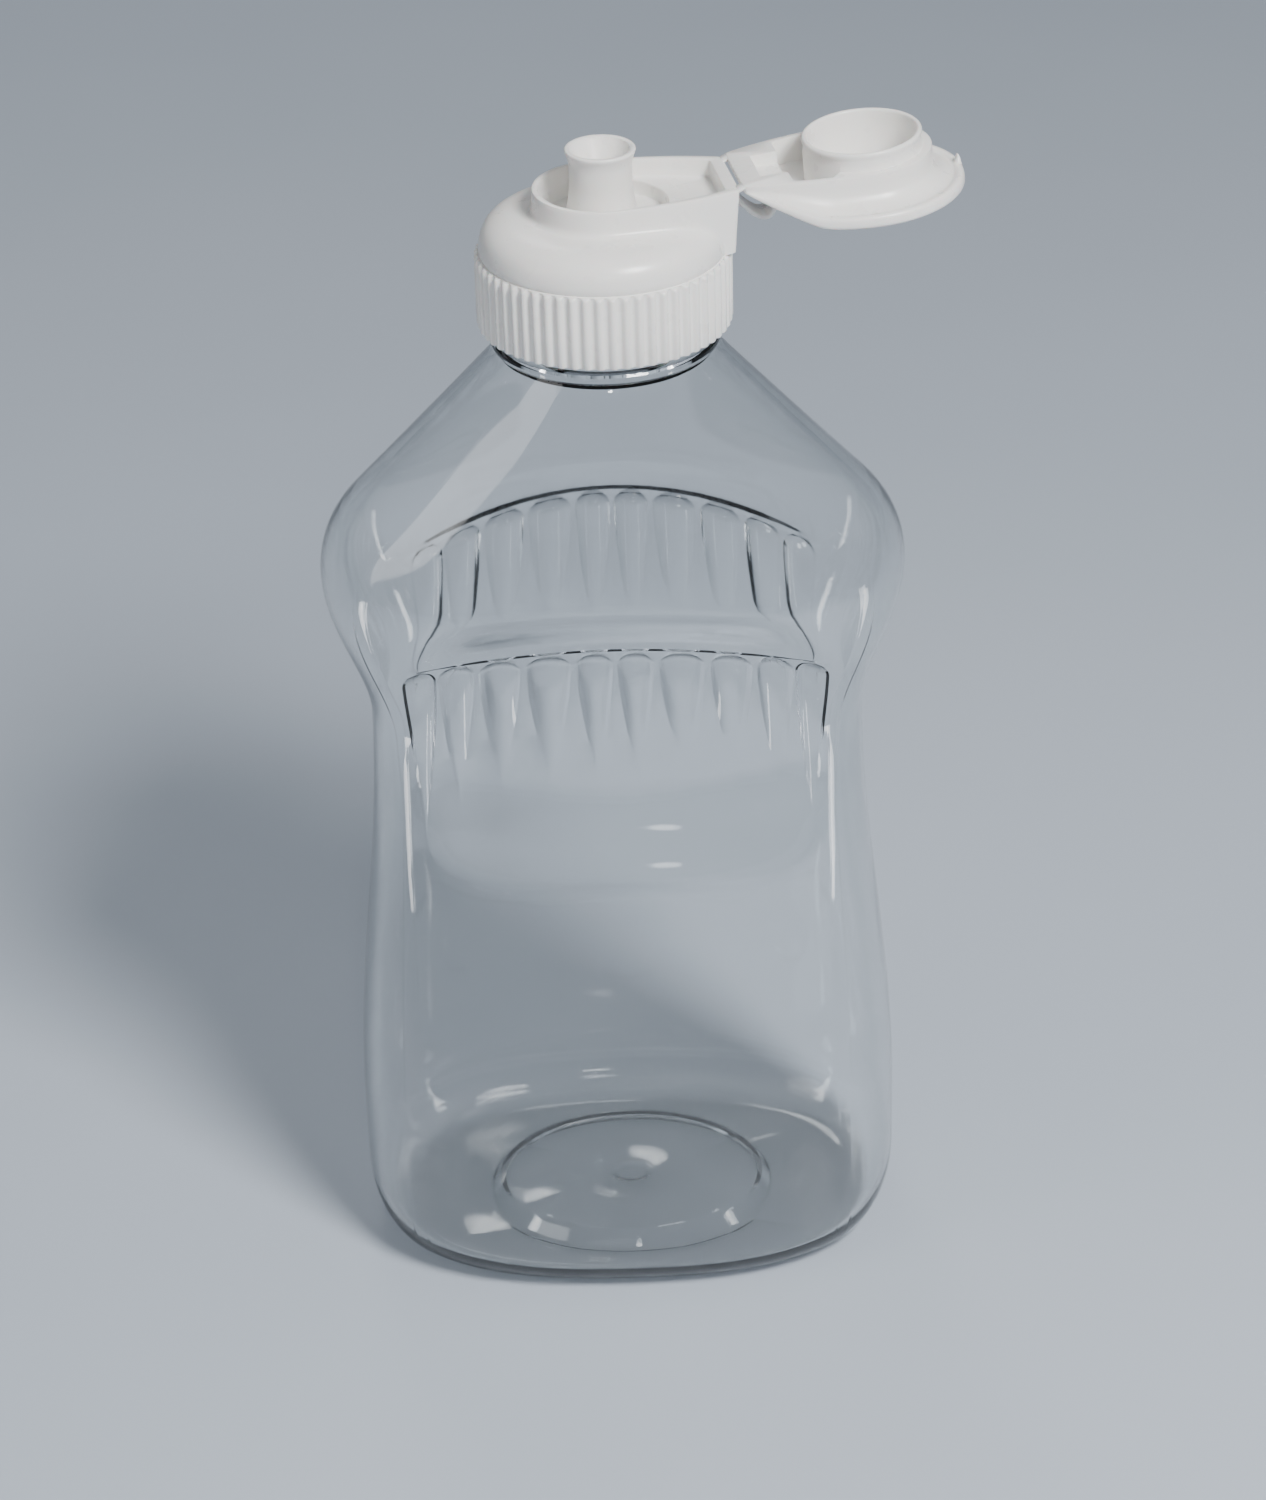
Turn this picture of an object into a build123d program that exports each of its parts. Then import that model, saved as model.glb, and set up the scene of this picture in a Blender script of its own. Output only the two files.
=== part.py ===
from build123d import *
import os
from math import acos, asin, atan2, cos, hypot, pi, radians, sin, sqrt, tan

# Flip-top bottle: a blown oval body with a fluted grip, a screw closure with a pouring
# spout, and a lid on a living hinge, shown open. Millimetres, +Z up, the origin at the
# middle of the foot, +X along the wide side and -Y the front.

# Body: heights, each one stage of the wall above the last, and the heel at the foot
heel_height = 13.0
base_height = 24.0
panel_height = 54.0
hip_height = 14.0
waist_height = 12.0
bust_height = 26.0
slope_height = 39.0

# Body: widths, depths and roundings
base_width = 94.8
base_depth = 67.0
panel_depth = 62.5
waist_width = 83.4
waist_depth = 50.0
shoulder_width = 97.6
shoulder_depth = 61.0
shoulder_width_round = 16.5
shoulder_depth_round = 7.0
heel_inset = 8.0
wall = 0.6
floor_wall = 1.1

# Body: section corners at the base, hip, waist, shoulder and neck, as shares of the half sizes,
# and how far each corner is eased from a crisp edge to a smooth turn
corner_x_shares = (0.80, 0.84, 0.86, 0.856, sqrt(0.5))
corner_y_shares = (0.73, 0.76, 0.69, 0.655, sqrt(0.5))
corner_ease_shares = (1.0, 0.9, 0.8, 0.0, 0.0)
heel_shares = (0.0, 0.04, 0.14, 0.32, 0.6, 1.0)

# Base push-up
push_up_width = 52.0
push_up_depth = 41.0
push_up_rise = 3.0
push_up_taper = 35.0

# Grip: upright flutes with sharp ridges between them, front and back, in an arched band
grip_half_width = 35.0
grip_gap = 1.5
grip_height = 27.5
grip_top_drop = 8.0
grip_foot_drop = 16.0
flute_depth = 1.6
flute_edge_shares = (0.0, 0.184, 0.417, 0.634, 0.831, 1.0)
flute_level_shares = (-0.12, 0.2, 0.5, 0.85, 1.0, 1.06)
flute_depth_shares = (-0.4, 0.5, 1.0, 0.95, 0.35, -0.4)

# Neck with its support bead
neck_radius = 17.5
neck_wall = 1.9
neck_height = 15.0
neck_step = 0.5
bead_reach = 1.3
bead_rise = 2.0
bead_height = 2.4

# Closure: skirt with grip ribs, dome and inside
closure_turn = 9.7
skirt_gap = 1.4
ledge_rise = 2.0
ledge_width = 0.1
thread_room = 1.4
skirt_wall = 1.2
rib_count = 60
rib_radius = 0.65
dome_rise = 6.3
dome_full_share = 0.74
ceiling_wall = 1.2
seal_gap = 0.3
seal_wall = 1.2
seal_drop = 4.0

# Closure: drop-shaped collar with its pocket and channel
collar_height = 10.5
collar_radius = 11.1
collar_draft = 0.5
hinge_reach = 21.1
hinge_draft = 0.7
hinge_half_width = 7.4
collar_wall = 1.0
pocket_shift = 0.3
pocket_depth = 5.4
channel_depth = 3.0
channel_end_wall = 2.2

# Closure: spout
spout_height = 11.9
spout_bore = 3.0
spout_wall = 2.0
spout_foot_reach = 1.6
spout_foot_height = 2.4
lip_bore = 4.5
lip_wall = 1.0
lip_height = 2.6
funnel_depth = 3.2

# Lid, drawn as it lies when closed and opened about its hinge
lid_open = 175.5
pivot_reach = 0.25
pivot_rise = 0.35
rim_gap = 0.15
crown_rise = 9.0
crown_drop = 1.8
crown_rear_rise = 1.3
ramp_start = 6.0
brim_reach = 4.9
brim_level = 6.2
flare_level = 3.2
nib_radius = 0.7
nib_drop = 0.8
cup_gap = 0.4
cup_wall = 0.9
cup_drop = 2.8
crown_wall = 1.4
bowl_inset = 2.7
lid_wall = 1.1
well_rise = 4.4
well_start = 5.5
well_run = 3.5
slot_rise = 2.2
slot_width = 8.8
slot_run = 4.4
plug_gap = 0.35
plug_length = 5.0

# Living hinge: two films and a bowed strap between them
film_width = 2.2
film_thickness = 0.5
strap_width = 5.2
strap_thickness = 0.7
strap_drop = 3.7
strap_lead = 2.4
strap_fall = 4.8
strap_hang = 8.6
strap_lid_reach = 14.5

overrun = 5.0

# Levels above the surface that the bottle stands on
base_level = base_height
panel_level = base_level + panel_height
hip_level = panel_level + hip_height
waist_level = hip_level + waist_height
shoulder_level = waist_level + bust_height
shoulder_top = shoulder_level + slope_height
grip_top = shoulder_level - grip_gap
grip_foot = grip_top - grip_height
bead_level = shoulder_top + bead_rise
neck_top = shoulder_top + neck_height
skirt_bottom = bead_level + bead_height / 2 + skirt_gap
skirt_top = neck_top + ledge_rise
rim_level = skirt_top + collar_height
pocket_floor = rim_level - pocket_depth
ceiling = pocket_floor - ceiling_wall
spout_top = pocket_floor + spout_height

# Radii that follow the neck, the collar and the spout
neck_bore = neck_radius - neck_wall
bead_radius = neck_radius + bead_reach
skirt_bore = neck_radius + thread_room
skirt_radius = skirt_bore + skirt_wall
dome_radius = skirt_radius - ledge_width
seal_radius = neck_bore - seal_gap
seal_top = neck_top + seal_gap
channel_radius = collar_radius - collar_wall
pocket_radius = channel_radius + pocket_shift
spout_radius = spout_bore + spout_wall
spout_foot_radius = spout_radius + spout_foot_reach
lip_radius = lip_bore + lip_wall
brim_radius = collar_radius + brim_reach
cup_radius = channel_radius - cup_gap
cup_bore = cup_radius - cup_wall
bowl_floor_radius = cup_bore - bowl_inset
bowl_rise = crown_rise - crown_wall
plug_radius = spout_bore - plug_gap


def ease(share):
    """Smooth step from 0 to 1."""
    return (1 - cos(pi * share)) / 2


def along(keys, level):
    """Eased value at a level, from (level, value) keys in rising order."""
    if level <= keys[0][0]:
        return keys[0][1]
    for (low, start), (high, end) in zip(keys, keys[1:]):
        if level <= high:
            return start + (end - start) * ease((level - low) / (high - low))
    return keys[-1][1]


def roof_line(edge, rounding):
    """Where the arc above the shoulder turns into the straight slope: half size and rise."""
    centre = edge - rounding
    run = neck_radius + neck_step - centre
    height = shoulder_top - shoulder_level
    tangent = atan2(height, run) - acos(rounding / hypot(height, run))
    return centre + rounding * cos(tangent), rounding * sin(tangent)


def roof(level, edge, rounding):
    """Half size above the shoulder: an arc from upright, then straight to the neck."""
    rise = level - shoulder_level
    slope_x, slope_rise = roof_line(edge, rounding)
    if rise <= slope_rise:
        return edge - rounding + sqrt(rounding**2 - rise**2)
    height = shoulder_top - shoulder_level
    run = neck_radius + neck_step - slope_x
    return slope_x + run * (rise - slope_rise) / (height - slope_rise)


def half_size(level, keys, rounding, foot):
    """Half width or half depth at a level, of a body whose foot lies at a level of its own."""
    if level > shoulder_level:
        return roof(level, keys[-1][1] / 2, rounding)
    size = along(keys, level) / 2
    if level < heel_height:
        size -= heel_inset * (1 - sqrt(1 - ((heel_height - level) / (heel_height - foot)) ** 2))
    return size


width_keys = (
    (base_level, base_width),
    (waist_level, waist_width),
    (shoulder_level, shoulder_width),
)
depth_keys = (
    (base_level, base_depth),
    (panel_level, panel_depth),
    (waist_level, waist_depth),
    (shoulder_level, shoulder_depth),
)
corner_levels = (base_level, hip_level, waist_level, shoulder_level, shoulder_top)


def side_curves(level, half_width, half_depth):
    """Two curves of a quarter of the body's section, which meet in an eased or crisp corner."""
    x_share = along(list(zip(corner_levels, corner_x_shares)), level)
    y_share = along(list(zip(corner_levels, corner_y_shares)), level)
    ease_share = along(list(zip(corner_levels, corner_ease_shares)), level)
    corner_x = half_width * x_share
    corner_y = half_depth * y_share
    front_bow = half_depth - corner_y
    side_bow = half_width - corner_x
    front_radius = (corner_x**2 + front_bow**2) / (2 * front_bow)
    side_radius = (corner_y**2 + side_bow**2) / (2 * side_bow)
    front_angle = asin(corner_x / front_radius)
    side_angle = asin(corner_y / side_radius)
    front_pull = front_radius * tan(front_angle / 4) * 4 / 3
    side_pull = side_radius * tan(side_angle / 4) * 4 / 3
    turn = ease_share * (pi / 2 - front_angle - side_angle) / 2
    near = (
        (0, half_depth),
        (front_pull, half_depth),
        (corner_x - front_pull * cos(front_angle + turn), corner_y + front_pull * sin(front_angle + turn)),
        (corner_x, corner_y),
    )
    far = (
        (corner_x, corner_y),
        (corner_x + side_pull * sin(side_angle + turn), corner_y - side_pull * cos(side_angle + turn)),
        (half_width, side_pull),
        (half_width, 0),
    )
    return near, far


def oval(level, half_width, half_depth):
    """Section of the body: four bowed sides that meet in four corners."""
    near, far = side_curves(level, half_width, half_depth)
    with BuildSketch(Plane.XY.offset(level)) as section:
        with BuildLine():
            for side in (1, -1):
                for curve in (near, far):
                    Bezier(*[(side * x, -side * y) for x, y in curve])
                for curve in (far, near):
                    Bezier(*[(side * x, side * y) for x, y in reversed(curve)])
        make_face()
    return section.sketch


def body_sizes(level, inset, foot):
    """Half width and half depth of the body at a level, drawn in by an inset for the inside."""
    half_width = half_size(level, width_keys, shoulder_width_round, foot) - inset
    half_depth = half_size(level, depth_keys, shoulder_depth_round, foot) - inset
    return half_width, half_depth


def body_section(level, inset, foot):
    """Section of the body at a level."""
    return oval(level, *body_sizes(level, inset, foot))


def body_levels(foot):
    """Levels of the sections from the foot to where the straight shoulder slope starts."""
    slope_level = shoulder_level + roof_line(shoulder_width / 2, shoulder_width_round)[1]
    return [foot + (heel_height - foot) * share for share in heel_shares] + [
        base_level,
        (base_level + panel_level) / 2,
        panel_level,
        hip_level,
        waist_level,
        (2 * waist_level + shoulder_level) / 3,
        (waist_level + 2 * shoulder_level) / 3,
        shoulder_level,
        (2 * shoulder_level + slope_level) / 3,
        (shoulder_level + 2 * slope_level) / 3,
        slope_level,
    ]


def flute_cutter(x, half_pitch, x_side, y_side, growth):
    """Upright rod that follows the bowed wall and hollows one flute into it."""
    rod_radius = (half_pitch**2 + flute_depth**2) / (2 * flute_depth)
    top = grip_top - grip_top_drop * (x / grip_half_width) ** 2
    foot = grip_foot - grip_foot_drop * (x / grip_half_width) ** 4
    sections = []
    for level_share, depth_share in zip(flute_level_shares, flute_depth_shares):
        level = foot + (top - foot) * level_share
        near = side_curves(level, *body_sizes(level, 0, 0))[0]
        front = Bezier(*near)
        place = x / near[-1][0]
        outward = (front % place).rotate(Axis.Z, 90)
        centre = front @ place + outward * (rod_radius - flute_depth * depth_share)
        with BuildSketch(Plane.XY.offset(level)) as section:
            with Locations((x_side * centre.X, y_side * centre.Y)):
                Circle(rod_radius + growth)
        sections.append(section.sketch)
    with BuildPart() as rod:
        loft(sections=sections)
    return rod.part


def flute_cutters(growth):
    """All the rods of the grip, front and back."""
    edges = [grip_half_width * share for share in flute_edge_shares]
    return [
        flute_cutter((edge + next_edge) / 2, (next_edge - edge) / 2, x_side, y_side, growth)
        for y_side in (-1, 1)
        for x_side in (-1, 1)
        for edge, next_edge in zip(edges, edges[1:])
    ]


def drop_outline(radius, half_width, reach):
    """Drop shape: half a circle about the axis, then long arcs that close to the hinge."""
    with BuildSketch() as outline:
        with BuildLine():
            ThreePointArc((0, radius), (-radius, 0), (0, -radius))
            TangentArc((0, -radius), (reach, -half_width), tangent=(1, 0))
            Line((reach, -half_width), (reach, half_width))
            TangentArc((0, radius), (reach, half_width), tangent=(1, 0))
        make_face()
    return outline.sketch


os.makedirs("parts", exist_ok=True)

# Bottle: the space inside it
with BuildPart() as inside:
    levels = body_levels(floor_wall)
    loft(sections=[body_section(level, wall, floor_wall) for level in levels])
    slope_foot = body_section(levels[-1], wall, floor_wall)
    slope_end = oval(shoulder_top, neck_bore + neck_step, neck_bore + neck_step)
    loft(sections=[slope_foot, slope_end], ruled=True)
    add(flute_cutters(wall), mode=Mode.SUBTRACT)
    with BuildSketch(Plane.XY):
        Ellipse(push_up_width / 2 + floor_wall, push_up_depth / 2 + floor_wall)
    extrude(amount=push_up_rise + floor_wall, taper=push_up_taper, mode=Mode.SUBTRACT)
    with BuildSketch(Plane.XY.offset(shoulder_top - neck_step)):
        Circle(neck_bore)
    extrude(amount=neck_top - shoulder_top + neck_step + overrun)

# Bottle: blown body, neck and support bead
with BuildPart() as bottle:
    levels = body_levels(0)
    loft(sections=[body_section(level, 0, 0) for level in levels])
    loft(sections=[body_section(level, 0, 0) for level in (levels[-1], shoulder_top)], ruled=True)
    add(flute_cutters(0), mode=Mode.SUBTRACT)
    with BuildSketch(Plane.XY):
        Ellipse(push_up_width / 2, push_up_depth / 2)
    extrude(amount=push_up_rise, taper=push_up_taper, mode=Mode.SUBTRACT)
    with BuildSketch(Plane.XY.offset(shoulder_top - neck_step)):
        Circle(neck_radius)
    extrude(amount=neck_top - shoulder_top + neck_step)
    with BuildSketch(Plane.XZ):
        with BuildLine():
            bead_edge = Line(
                (neck_radius, bead_level - bead_height / 2), (neck_radius, bead_level + bead_height / 2)
            )
            ThreePointArc(bead_edge @ 0, (bead_radius, bead_level), bead_edge @ 1)
        make_face()
    revolve(axis=Axis.Z)
    add(inside.part, mode=Mode.SUBTRACT)
bottle.part.label = "bottle"
export_step(bottle.part, "parts/bottle.step")

# Closure frame: u towards the hinge, v across it, and an upright plane along u
closure = Plane(
    origin=(0, 0, 0),
    x_dir=(cos(radians(closure_turn)), sin(radians(closure_turn)), 0),
    z_dir=(0, 0, 1),
)
upright = Plane(origin=(0, 0, 0), x_dir=closure.x_dir, z_dir=-closure.y_dir)
dome_top = skirt_top + dome_rise
dome_run = dome_radius - collar_radius

# Cap: ribbed skirt, dome, collar, spout and the seal that enters the neck
with BuildPart() as cap:
    with BuildSketch(closure.offset(skirt_bottom)):
        Circle(skirt_radius)
        with PolarLocations(skirt_radius, rib_count):
            Circle(rib_radius)
    extrude(amount=skirt_top - skirt_bottom)
    with BuildSketch(upright):
        with BuildLine():
            Polyline((collar_radius, dome_top), (0, dome_top), (0, skirt_top), (dome_radius, skirt_top))
            Bezier(
                (dome_radius, skirt_top),
                (dome_radius, skirt_top + dome_rise * dome_full_share),
                (collar_radius + dome_run * dome_full_share, dome_top),
                (collar_radius, dome_top),
            )
        make_face()
    revolve(axis=Axis.Z)
    with BuildSketch(closure.offset(skirt_top)):
        add(drop_outline(collar_radius + collar_draft, hinge_half_width, hinge_reach - hinge_draft))
    with BuildSketch(closure.offset(rim_level)):
        add(drop_outline(collar_radius, hinge_half_width, hinge_reach))
    loft(ruled=True)
    with BuildSketch(closure.offset(rim_level)):
        add(drop_outline(channel_radius, hinge_half_width - collar_wall, hinge_reach - channel_end_wall))
    extrude(amount=-channel_depth, mode=Mode.SUBTRACT)
    with BuildSketch(closure.offset(rim_level)):
        with Locations((pocket_shift, 0)):
            Circle(pocket_radius)
    extrude(amount=-pocket_depth, mode=Mode.SUBTRACT)
    with BuildSketch(upright):
        with BuildLine():
            Polyline(
                (spout_foot_radius, pocket_floor),
                (0, pocket_floor),
                (0, spout_top),
                (lip_radius, spout_top),
                (spout_radius, spout_top - lip_height),
                (spout_radius, pocket_floor + spout_foot_height),
            )
            TangentArc(
                (spout_radius, pocket_floor + spout_foot_height),
                (spout_foot_radius, pocket_floor),
                tangent=(0, -1),
            )
        make_face()
    revolve(axis=Axis.Z)
    with BuildSketch(upright):
        with BuildLine():
            Polyline(
                (0, skirt_bottom - overrun),
                (skirt_bore, skirt_bottom - overrun),
                (skirt_bore, seal_top),
                (seal_radius, seal_top),
                (seal_radius, seal_top - seal_drop),
                (seal_radius - seal_wall, seal_top - seal_drop),
                (seal_radius - seal_wall, ceiling),
                (spout_bore, ceiling),
                (spout_bore, spout_top - funnel_depth),
                (lip_bore, spout_top),
                (lip_bore, spout_top + overrun),
                (0, spout_top + overrun),
                close=True,
            )
        make_face()
    revolve(axis=Axis.Z, mode=Mode.SUBTRACT)
cap.part.label = "cap"
export_step(cap.part, "parts/cap.step")

# Lid frame: the closure frame at the rim, opened about the hinge
swing = radians(lid_open)
pivot = closure.x_dir * (hinge_reach + pivot_reach) + Vector(0, 0, rim_level + pivot_rise)
lid_x = closure.x_dir * cos(swing) - Vector(0, 0, sin(swing))
lid_z = closure.x_dir * sin(swing) + Vector(0, 0, cos(swing))
lid_origin = pivot - lid_x * (hinge_reach + pivot_reach) - lid_z * pivot_rise
lid_frame = Plane(origin=lid_origin, x_dir=lid_x, z_dir=lid_z)
lid_upright = Plane(origin=lid_origin, x_dir=lid_x, z_dir=-lid_frame.y_dir)
lid_axis = Axis(lid_origin, lid_z)
crown_radius = (brim_radius**2 + crown_drop**2) / (2 * crown_drop)
crown_reach = hypot(hinge_reach, brim_radius)
crown_edge_rise = crown_rise - crown_radius + sqrt(crown_radius**2 - crown_reach**2)
ramp_slope = (crown_rear_rise - crown_rise) / (hinge_reach - ramp_start)
well_end = cup_radius + well_run
slot_end = well_end + slot_run
film_draft = film_thickness * hinge_draft / collar_height

# Lid: drop-shaped wall, flared brim and crown, with the cup and plug that close the spout
with BuildPart() as lid:
    with BuildSketch(lid_frame.offset(rim_gap)):
        add(drop_outline(collar_radius, hinge_half_width, hinge_reach))
    extrude(amount=crown_rise)
    with BuildSketch(lid_frame.offset(flare_level)):
        add(drop_outline(collar_radius, hinge_half_width, hinge_reach))
    with BuildSketch(lid_frame.offset(brim_level)):
        add(drop_outline(brim_radius, hinge_half_width, hinge_reach))
    loft(ruled=True)
    with BuildSketch(lid_frame.offset(brim_level)):
        add(drop_outline(brim_radius, hinge_half_width, hinge_reach))
    extrude(amount=crown_rise)
    with BuildSketch(lid_upright):
        with BuildLine():
            crown = RadiusArc((0, crown_rise), (crown_reach, crown_edge_rise), crown_radius)
            Polyline(crown @ 1, (crown_reach, 0), (0, 0), crown @ 0)
        make_face()
    revolve(axis=lid_axis, mode=Mode.INTERSECT)
    with BuildSketch(lid_upright.offset(-brim_radius)):
        with BuildLine():
            Polyline(
                (ramp_start, crown_rise),
                (hinge_reach + overrun, crown_rear_rise + ramp_slope * overrun),
                (hinge_reach + overrun, crown_rise),
                close=True,
            )
        make_face()
    extrude(amount=2 * brim_radius, mode=Mode.SUBTRACT)
    with BuildSketch(lid_frame.offset(brim_level - nib_drop)):
        with Locations((nib_radius - brim_radius, 0)):
            Circle(nib_radius)
    extrude(amount=nib_drop)
    with BuildSketch(lid_frame.offset(-cup_drop)):
        Circle(cup_radius)
    extrude(amount=cup_drop + well_rise)
    with BuildSketch(lid_frame.offset(rim_gap)):
        add(drop_outline(collar_radius - lid_wall, hinge_half_width - lid_wall, hinge_reach))
        with Locations(((well_start + well_end) / 2, 0)):
            Rectangle(well_end - well_start, 2 * collar_radius, mode=Mode.INTERSECT)
        Circle(cup_radius, mode=Mode.SUBTRACT)
    extrude(amount=well_rise - rim_gap, mode=Mode.SUBTRACT)
    with BuildSketch(lid_frame.offset(rim_gap)):
        with Locations(((well_end + slot_end) / 2, 0)):
            Rectangle(slot_end - well_end, slot_width)
    extrude(amount=slot_rise - rim_gap, mode=Mode.SUBTRACT)
    with BuildSketch(lid_upright):
        with BuildLine():
            bowl = TangentArc((cup_bore, -cup_drop), (bowl_floor_radius, bowl_rise), tangent=(0, 1))
            Polyline(
                bowl @ 1,
                (plug_radius, bowl_rise),
                (plug_radius, bowl_rise - plug_length),
                (0, bowl_rise - plug_length),
                (0, -cup_drop - overrun),
                (cup_bore, -cup_drop - overrun),
                bowl @ 0,
            )
        make_face()
    revolve(axis=lid_axis, mode=Mode.SUBTRACT)
lid.part.label = "lid"
export_step(lid.part, "parts/lid.step")


def lid_point(u, w):
    """Point of the open lid in the upright plane, from its place when closed."""
    place = lid_origin + lid_x * u + lid_z * w
    return (place.dot(closure.x_dir), place.Z)


# Hinge films: two thin webs from the collar's rear edge to the lid's
with BuildPart() as hinge_films:
    for v_start in (-hinge_half_width, hinge_half_width - film_width):
        with BuildSketch(upright.offset(v_start)):
            with BuildLine():
                Polyline(
                    (hinge_reach, rim_level),
                    lid_point(hinge_reach, rim_gap),
                    lid_point(hinge_reach, rim_gap + film_thickness),
                    (hinge_reach - film_draft, rim_level - film_thickness),
                    close=True,
                )
            make_face()
    extrude(amount=film_width)
hinge_films.part.label = "hinge_films"
export_step(hinge_films.part, "parts/hinge_films.step")

# Hinge strap: bowed spring between the tower's rear wall and the lid's crown
strap_ramp = crown_rise + ramp_slope * (strap_lid_reach - ramp_start)
strap_start = Vector(hinge_reach - strap_thickness, rim_level - strap_drop)
strap_end = Vector(*lid_point(strap_lid_reach, strap_ramp - strap_thickness))
with BuildPart() as hinge_strap:
    with BuildSketch(upright.offset(-strap_width / 2)):
        with BuildLine():
            Bezier(
                strap_start,
                strap_start + Vector(strap_lead, -strap_fall),
                strap_end - Vector(0, strap_hang),
                strap_end,
            )
        trace(line_width=strap_thickness)
    extrude(amount=strap_width)
    add(cap.part, mode=Mode.SUBTRACT)
    add(lid.part, mode=Mode.SUBTRACT)
hinge_strap.part.label = "hinge_strap"
export_step(hinge_strap.part, "parts/hinge_strap.step")
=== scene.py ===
"""Flip-top bottle: a clear blown bottle and its white flip-top closure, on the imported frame."""

import logging
from dataclasses import dataclass
from enum import Enum
from math import acos, asin, atan2, cos, hypot, pi, radians, sin, sqrt, tan
from typing import Callable, Sequence

import bmesh
import bpy
from mathutils import Matrix, Vector


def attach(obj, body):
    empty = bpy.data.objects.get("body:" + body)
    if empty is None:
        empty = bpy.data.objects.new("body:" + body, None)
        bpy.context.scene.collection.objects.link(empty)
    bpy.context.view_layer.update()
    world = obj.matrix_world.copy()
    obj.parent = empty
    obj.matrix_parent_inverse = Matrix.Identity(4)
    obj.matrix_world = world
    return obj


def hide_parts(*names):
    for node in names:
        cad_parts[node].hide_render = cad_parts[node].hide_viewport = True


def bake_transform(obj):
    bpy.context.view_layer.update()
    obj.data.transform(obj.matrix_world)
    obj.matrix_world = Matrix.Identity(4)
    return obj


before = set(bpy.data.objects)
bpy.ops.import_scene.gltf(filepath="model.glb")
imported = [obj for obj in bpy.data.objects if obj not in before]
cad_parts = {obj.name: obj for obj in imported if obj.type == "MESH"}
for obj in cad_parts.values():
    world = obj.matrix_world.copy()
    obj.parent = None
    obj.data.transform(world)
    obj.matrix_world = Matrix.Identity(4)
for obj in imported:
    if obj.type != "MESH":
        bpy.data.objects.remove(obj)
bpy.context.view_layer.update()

logging.basicConfig(level=logging.INFO, format="%(message)s")
log = logging.getLogger("flip_top_bottle")

Flat = tuple[float, float]
Point = tuple[float, float, float]
Ring = list[Point]

MILLIMETRE = 0.001


class Slot(Enum):
    """Material slots of the record."""

    CLEAR = "clear_plastic"
    WHITE = "white_plastic"


class Body(Enum):
    """Moving bodies of the frame."""

    BOTTLE = "bottle"
    CAP = "cap"
    LID = "lid"


def ease(share: float) -> float:
    """Smooth step from 0 to 1 along a cosine."""
    return (1 - cos(pi * min(max(share, 0.0), 1.0))) / 2


def ramp(start: float, end: float, value: float) -> float:
    """Eased rise from 0 at start to 1 at end."""
    return ease((value - start) / (end - start))


def soft_floor(value: float, width: float) -> float:
    """Value above zero, rounded off over a width where it reaches zero."""
    return (value + sqrt(value * value + width * width)) / 2


def soft_min(first: float, second: float, width: float) -> float:
    """Smaller of two values, rounded off over a width where they meet."""
    return second - soft_floor(second - first, width)


def spread(start: float, end: float, count: int) -> list[float]:
    """Evenly spread values from start to end, both ends included.

    Args:
        start: First value.
        end: Last value.
        count: Number of steps between them.

    Returns:
        count + 1 values.
    """
    return [start + (end - start) * index / count for index in range(count + 1)]


def along(keys: Sequence[Flat], level: float) -> float:
    """Eased value at a level.

    Args:
        keys: Pairs of level and value, in rising order.
        level: Level asked for.

    Returns:
        Value at that level, held constant outside the keys.
    """
    if level <= keys[0][0]:
        return keys[0][1]
    for (low, start), (high, end) in zip(keys, keys[1:]):
        if level <= high:
            return start + (end - start) * ease((level - low) / (high - low))
    return keys[-1][1]


def curve_point(curve: Sequence[Flat], share: float) -> Flat:
    """Point on a quadratic or cubic curve, by repeated division of its control lines.

    Args:
        curve: Control points.
        share: Place along the curve, from 0 to 1.

    Returns:
        Point in the curve's plane.
    """
    points = list(curve)
    while len(points) > 1:
        points = [
            (a[0] + (b[0] - a[0]) * share, a[1] + (b[1] - a[1]) * share)
            for a, b in zip(points, points[1:])
        ]
    return points[0]


def trace(curve: Sequence[Flat], count: int) -> list[Flat]:
    """Points along a curve, both ends included.

    Args:
        curve: Control points.
        count: Number of steps along the curve.

    Returns:
        count + 1 points.
    """
    return [curve_point(curve, share) for share in spread(0.0, 1.0, count)]


def around(count: int) -> list[float]:
    """Evenly spread angles of a full turn."""
    return [2 * pi * index / count for index in range(count)]


def swept(
    place: Callable[[float, float, float], Point], angles: Sequence[float], profiles: list[list[Flat]]
) -> list[Ring]:
    """Rings through the profiles of a moulding.

    Args:
        place: Puts a point in the frame, from its distances towards and along the hinge and its level.
        angles: Direction of each profile, from the hinge.
        profiles: Pairs of radius and level, equally many in each profile.

    Returns:
        A ring for each pair of a profile.
    """
    return [
        [
            place(radius * cos(angle), radius * sin(angle), level)
            for angle, (radius, level) in zip(angles, row)
        ]
        for row in zip(*profiles)
    ]


def drop_radius(angle: float, radius: float, half_width: float, reach: float, corner: float) -> float:
    """Distance from the axis to a drop-shaped outline.

    Args:
        angle: Direction, from the hinge, in radians.
        radius: Radius of the round half.
        half_width: Half width of the straight end at the hinge.
        reach: Distance of the straight end from the axis.
        corner: Rounding of the two corners at the hinge.

    Returns:
        Distance in millimetres.
    """
    if cos(angle) <= 0:
        return radius
    bow = (reach**2 + (radius - half_width) ** 2) / (2 * (radius - half_width))
    toward = abs(sin(angle)) * (radius - bow)
    side = toward + sqrt(toward**2 + bow**2 - (radius - bow) ** 2)
    return soft_min(side, reach / max(cos(angle), 1e-6), corner)


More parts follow.
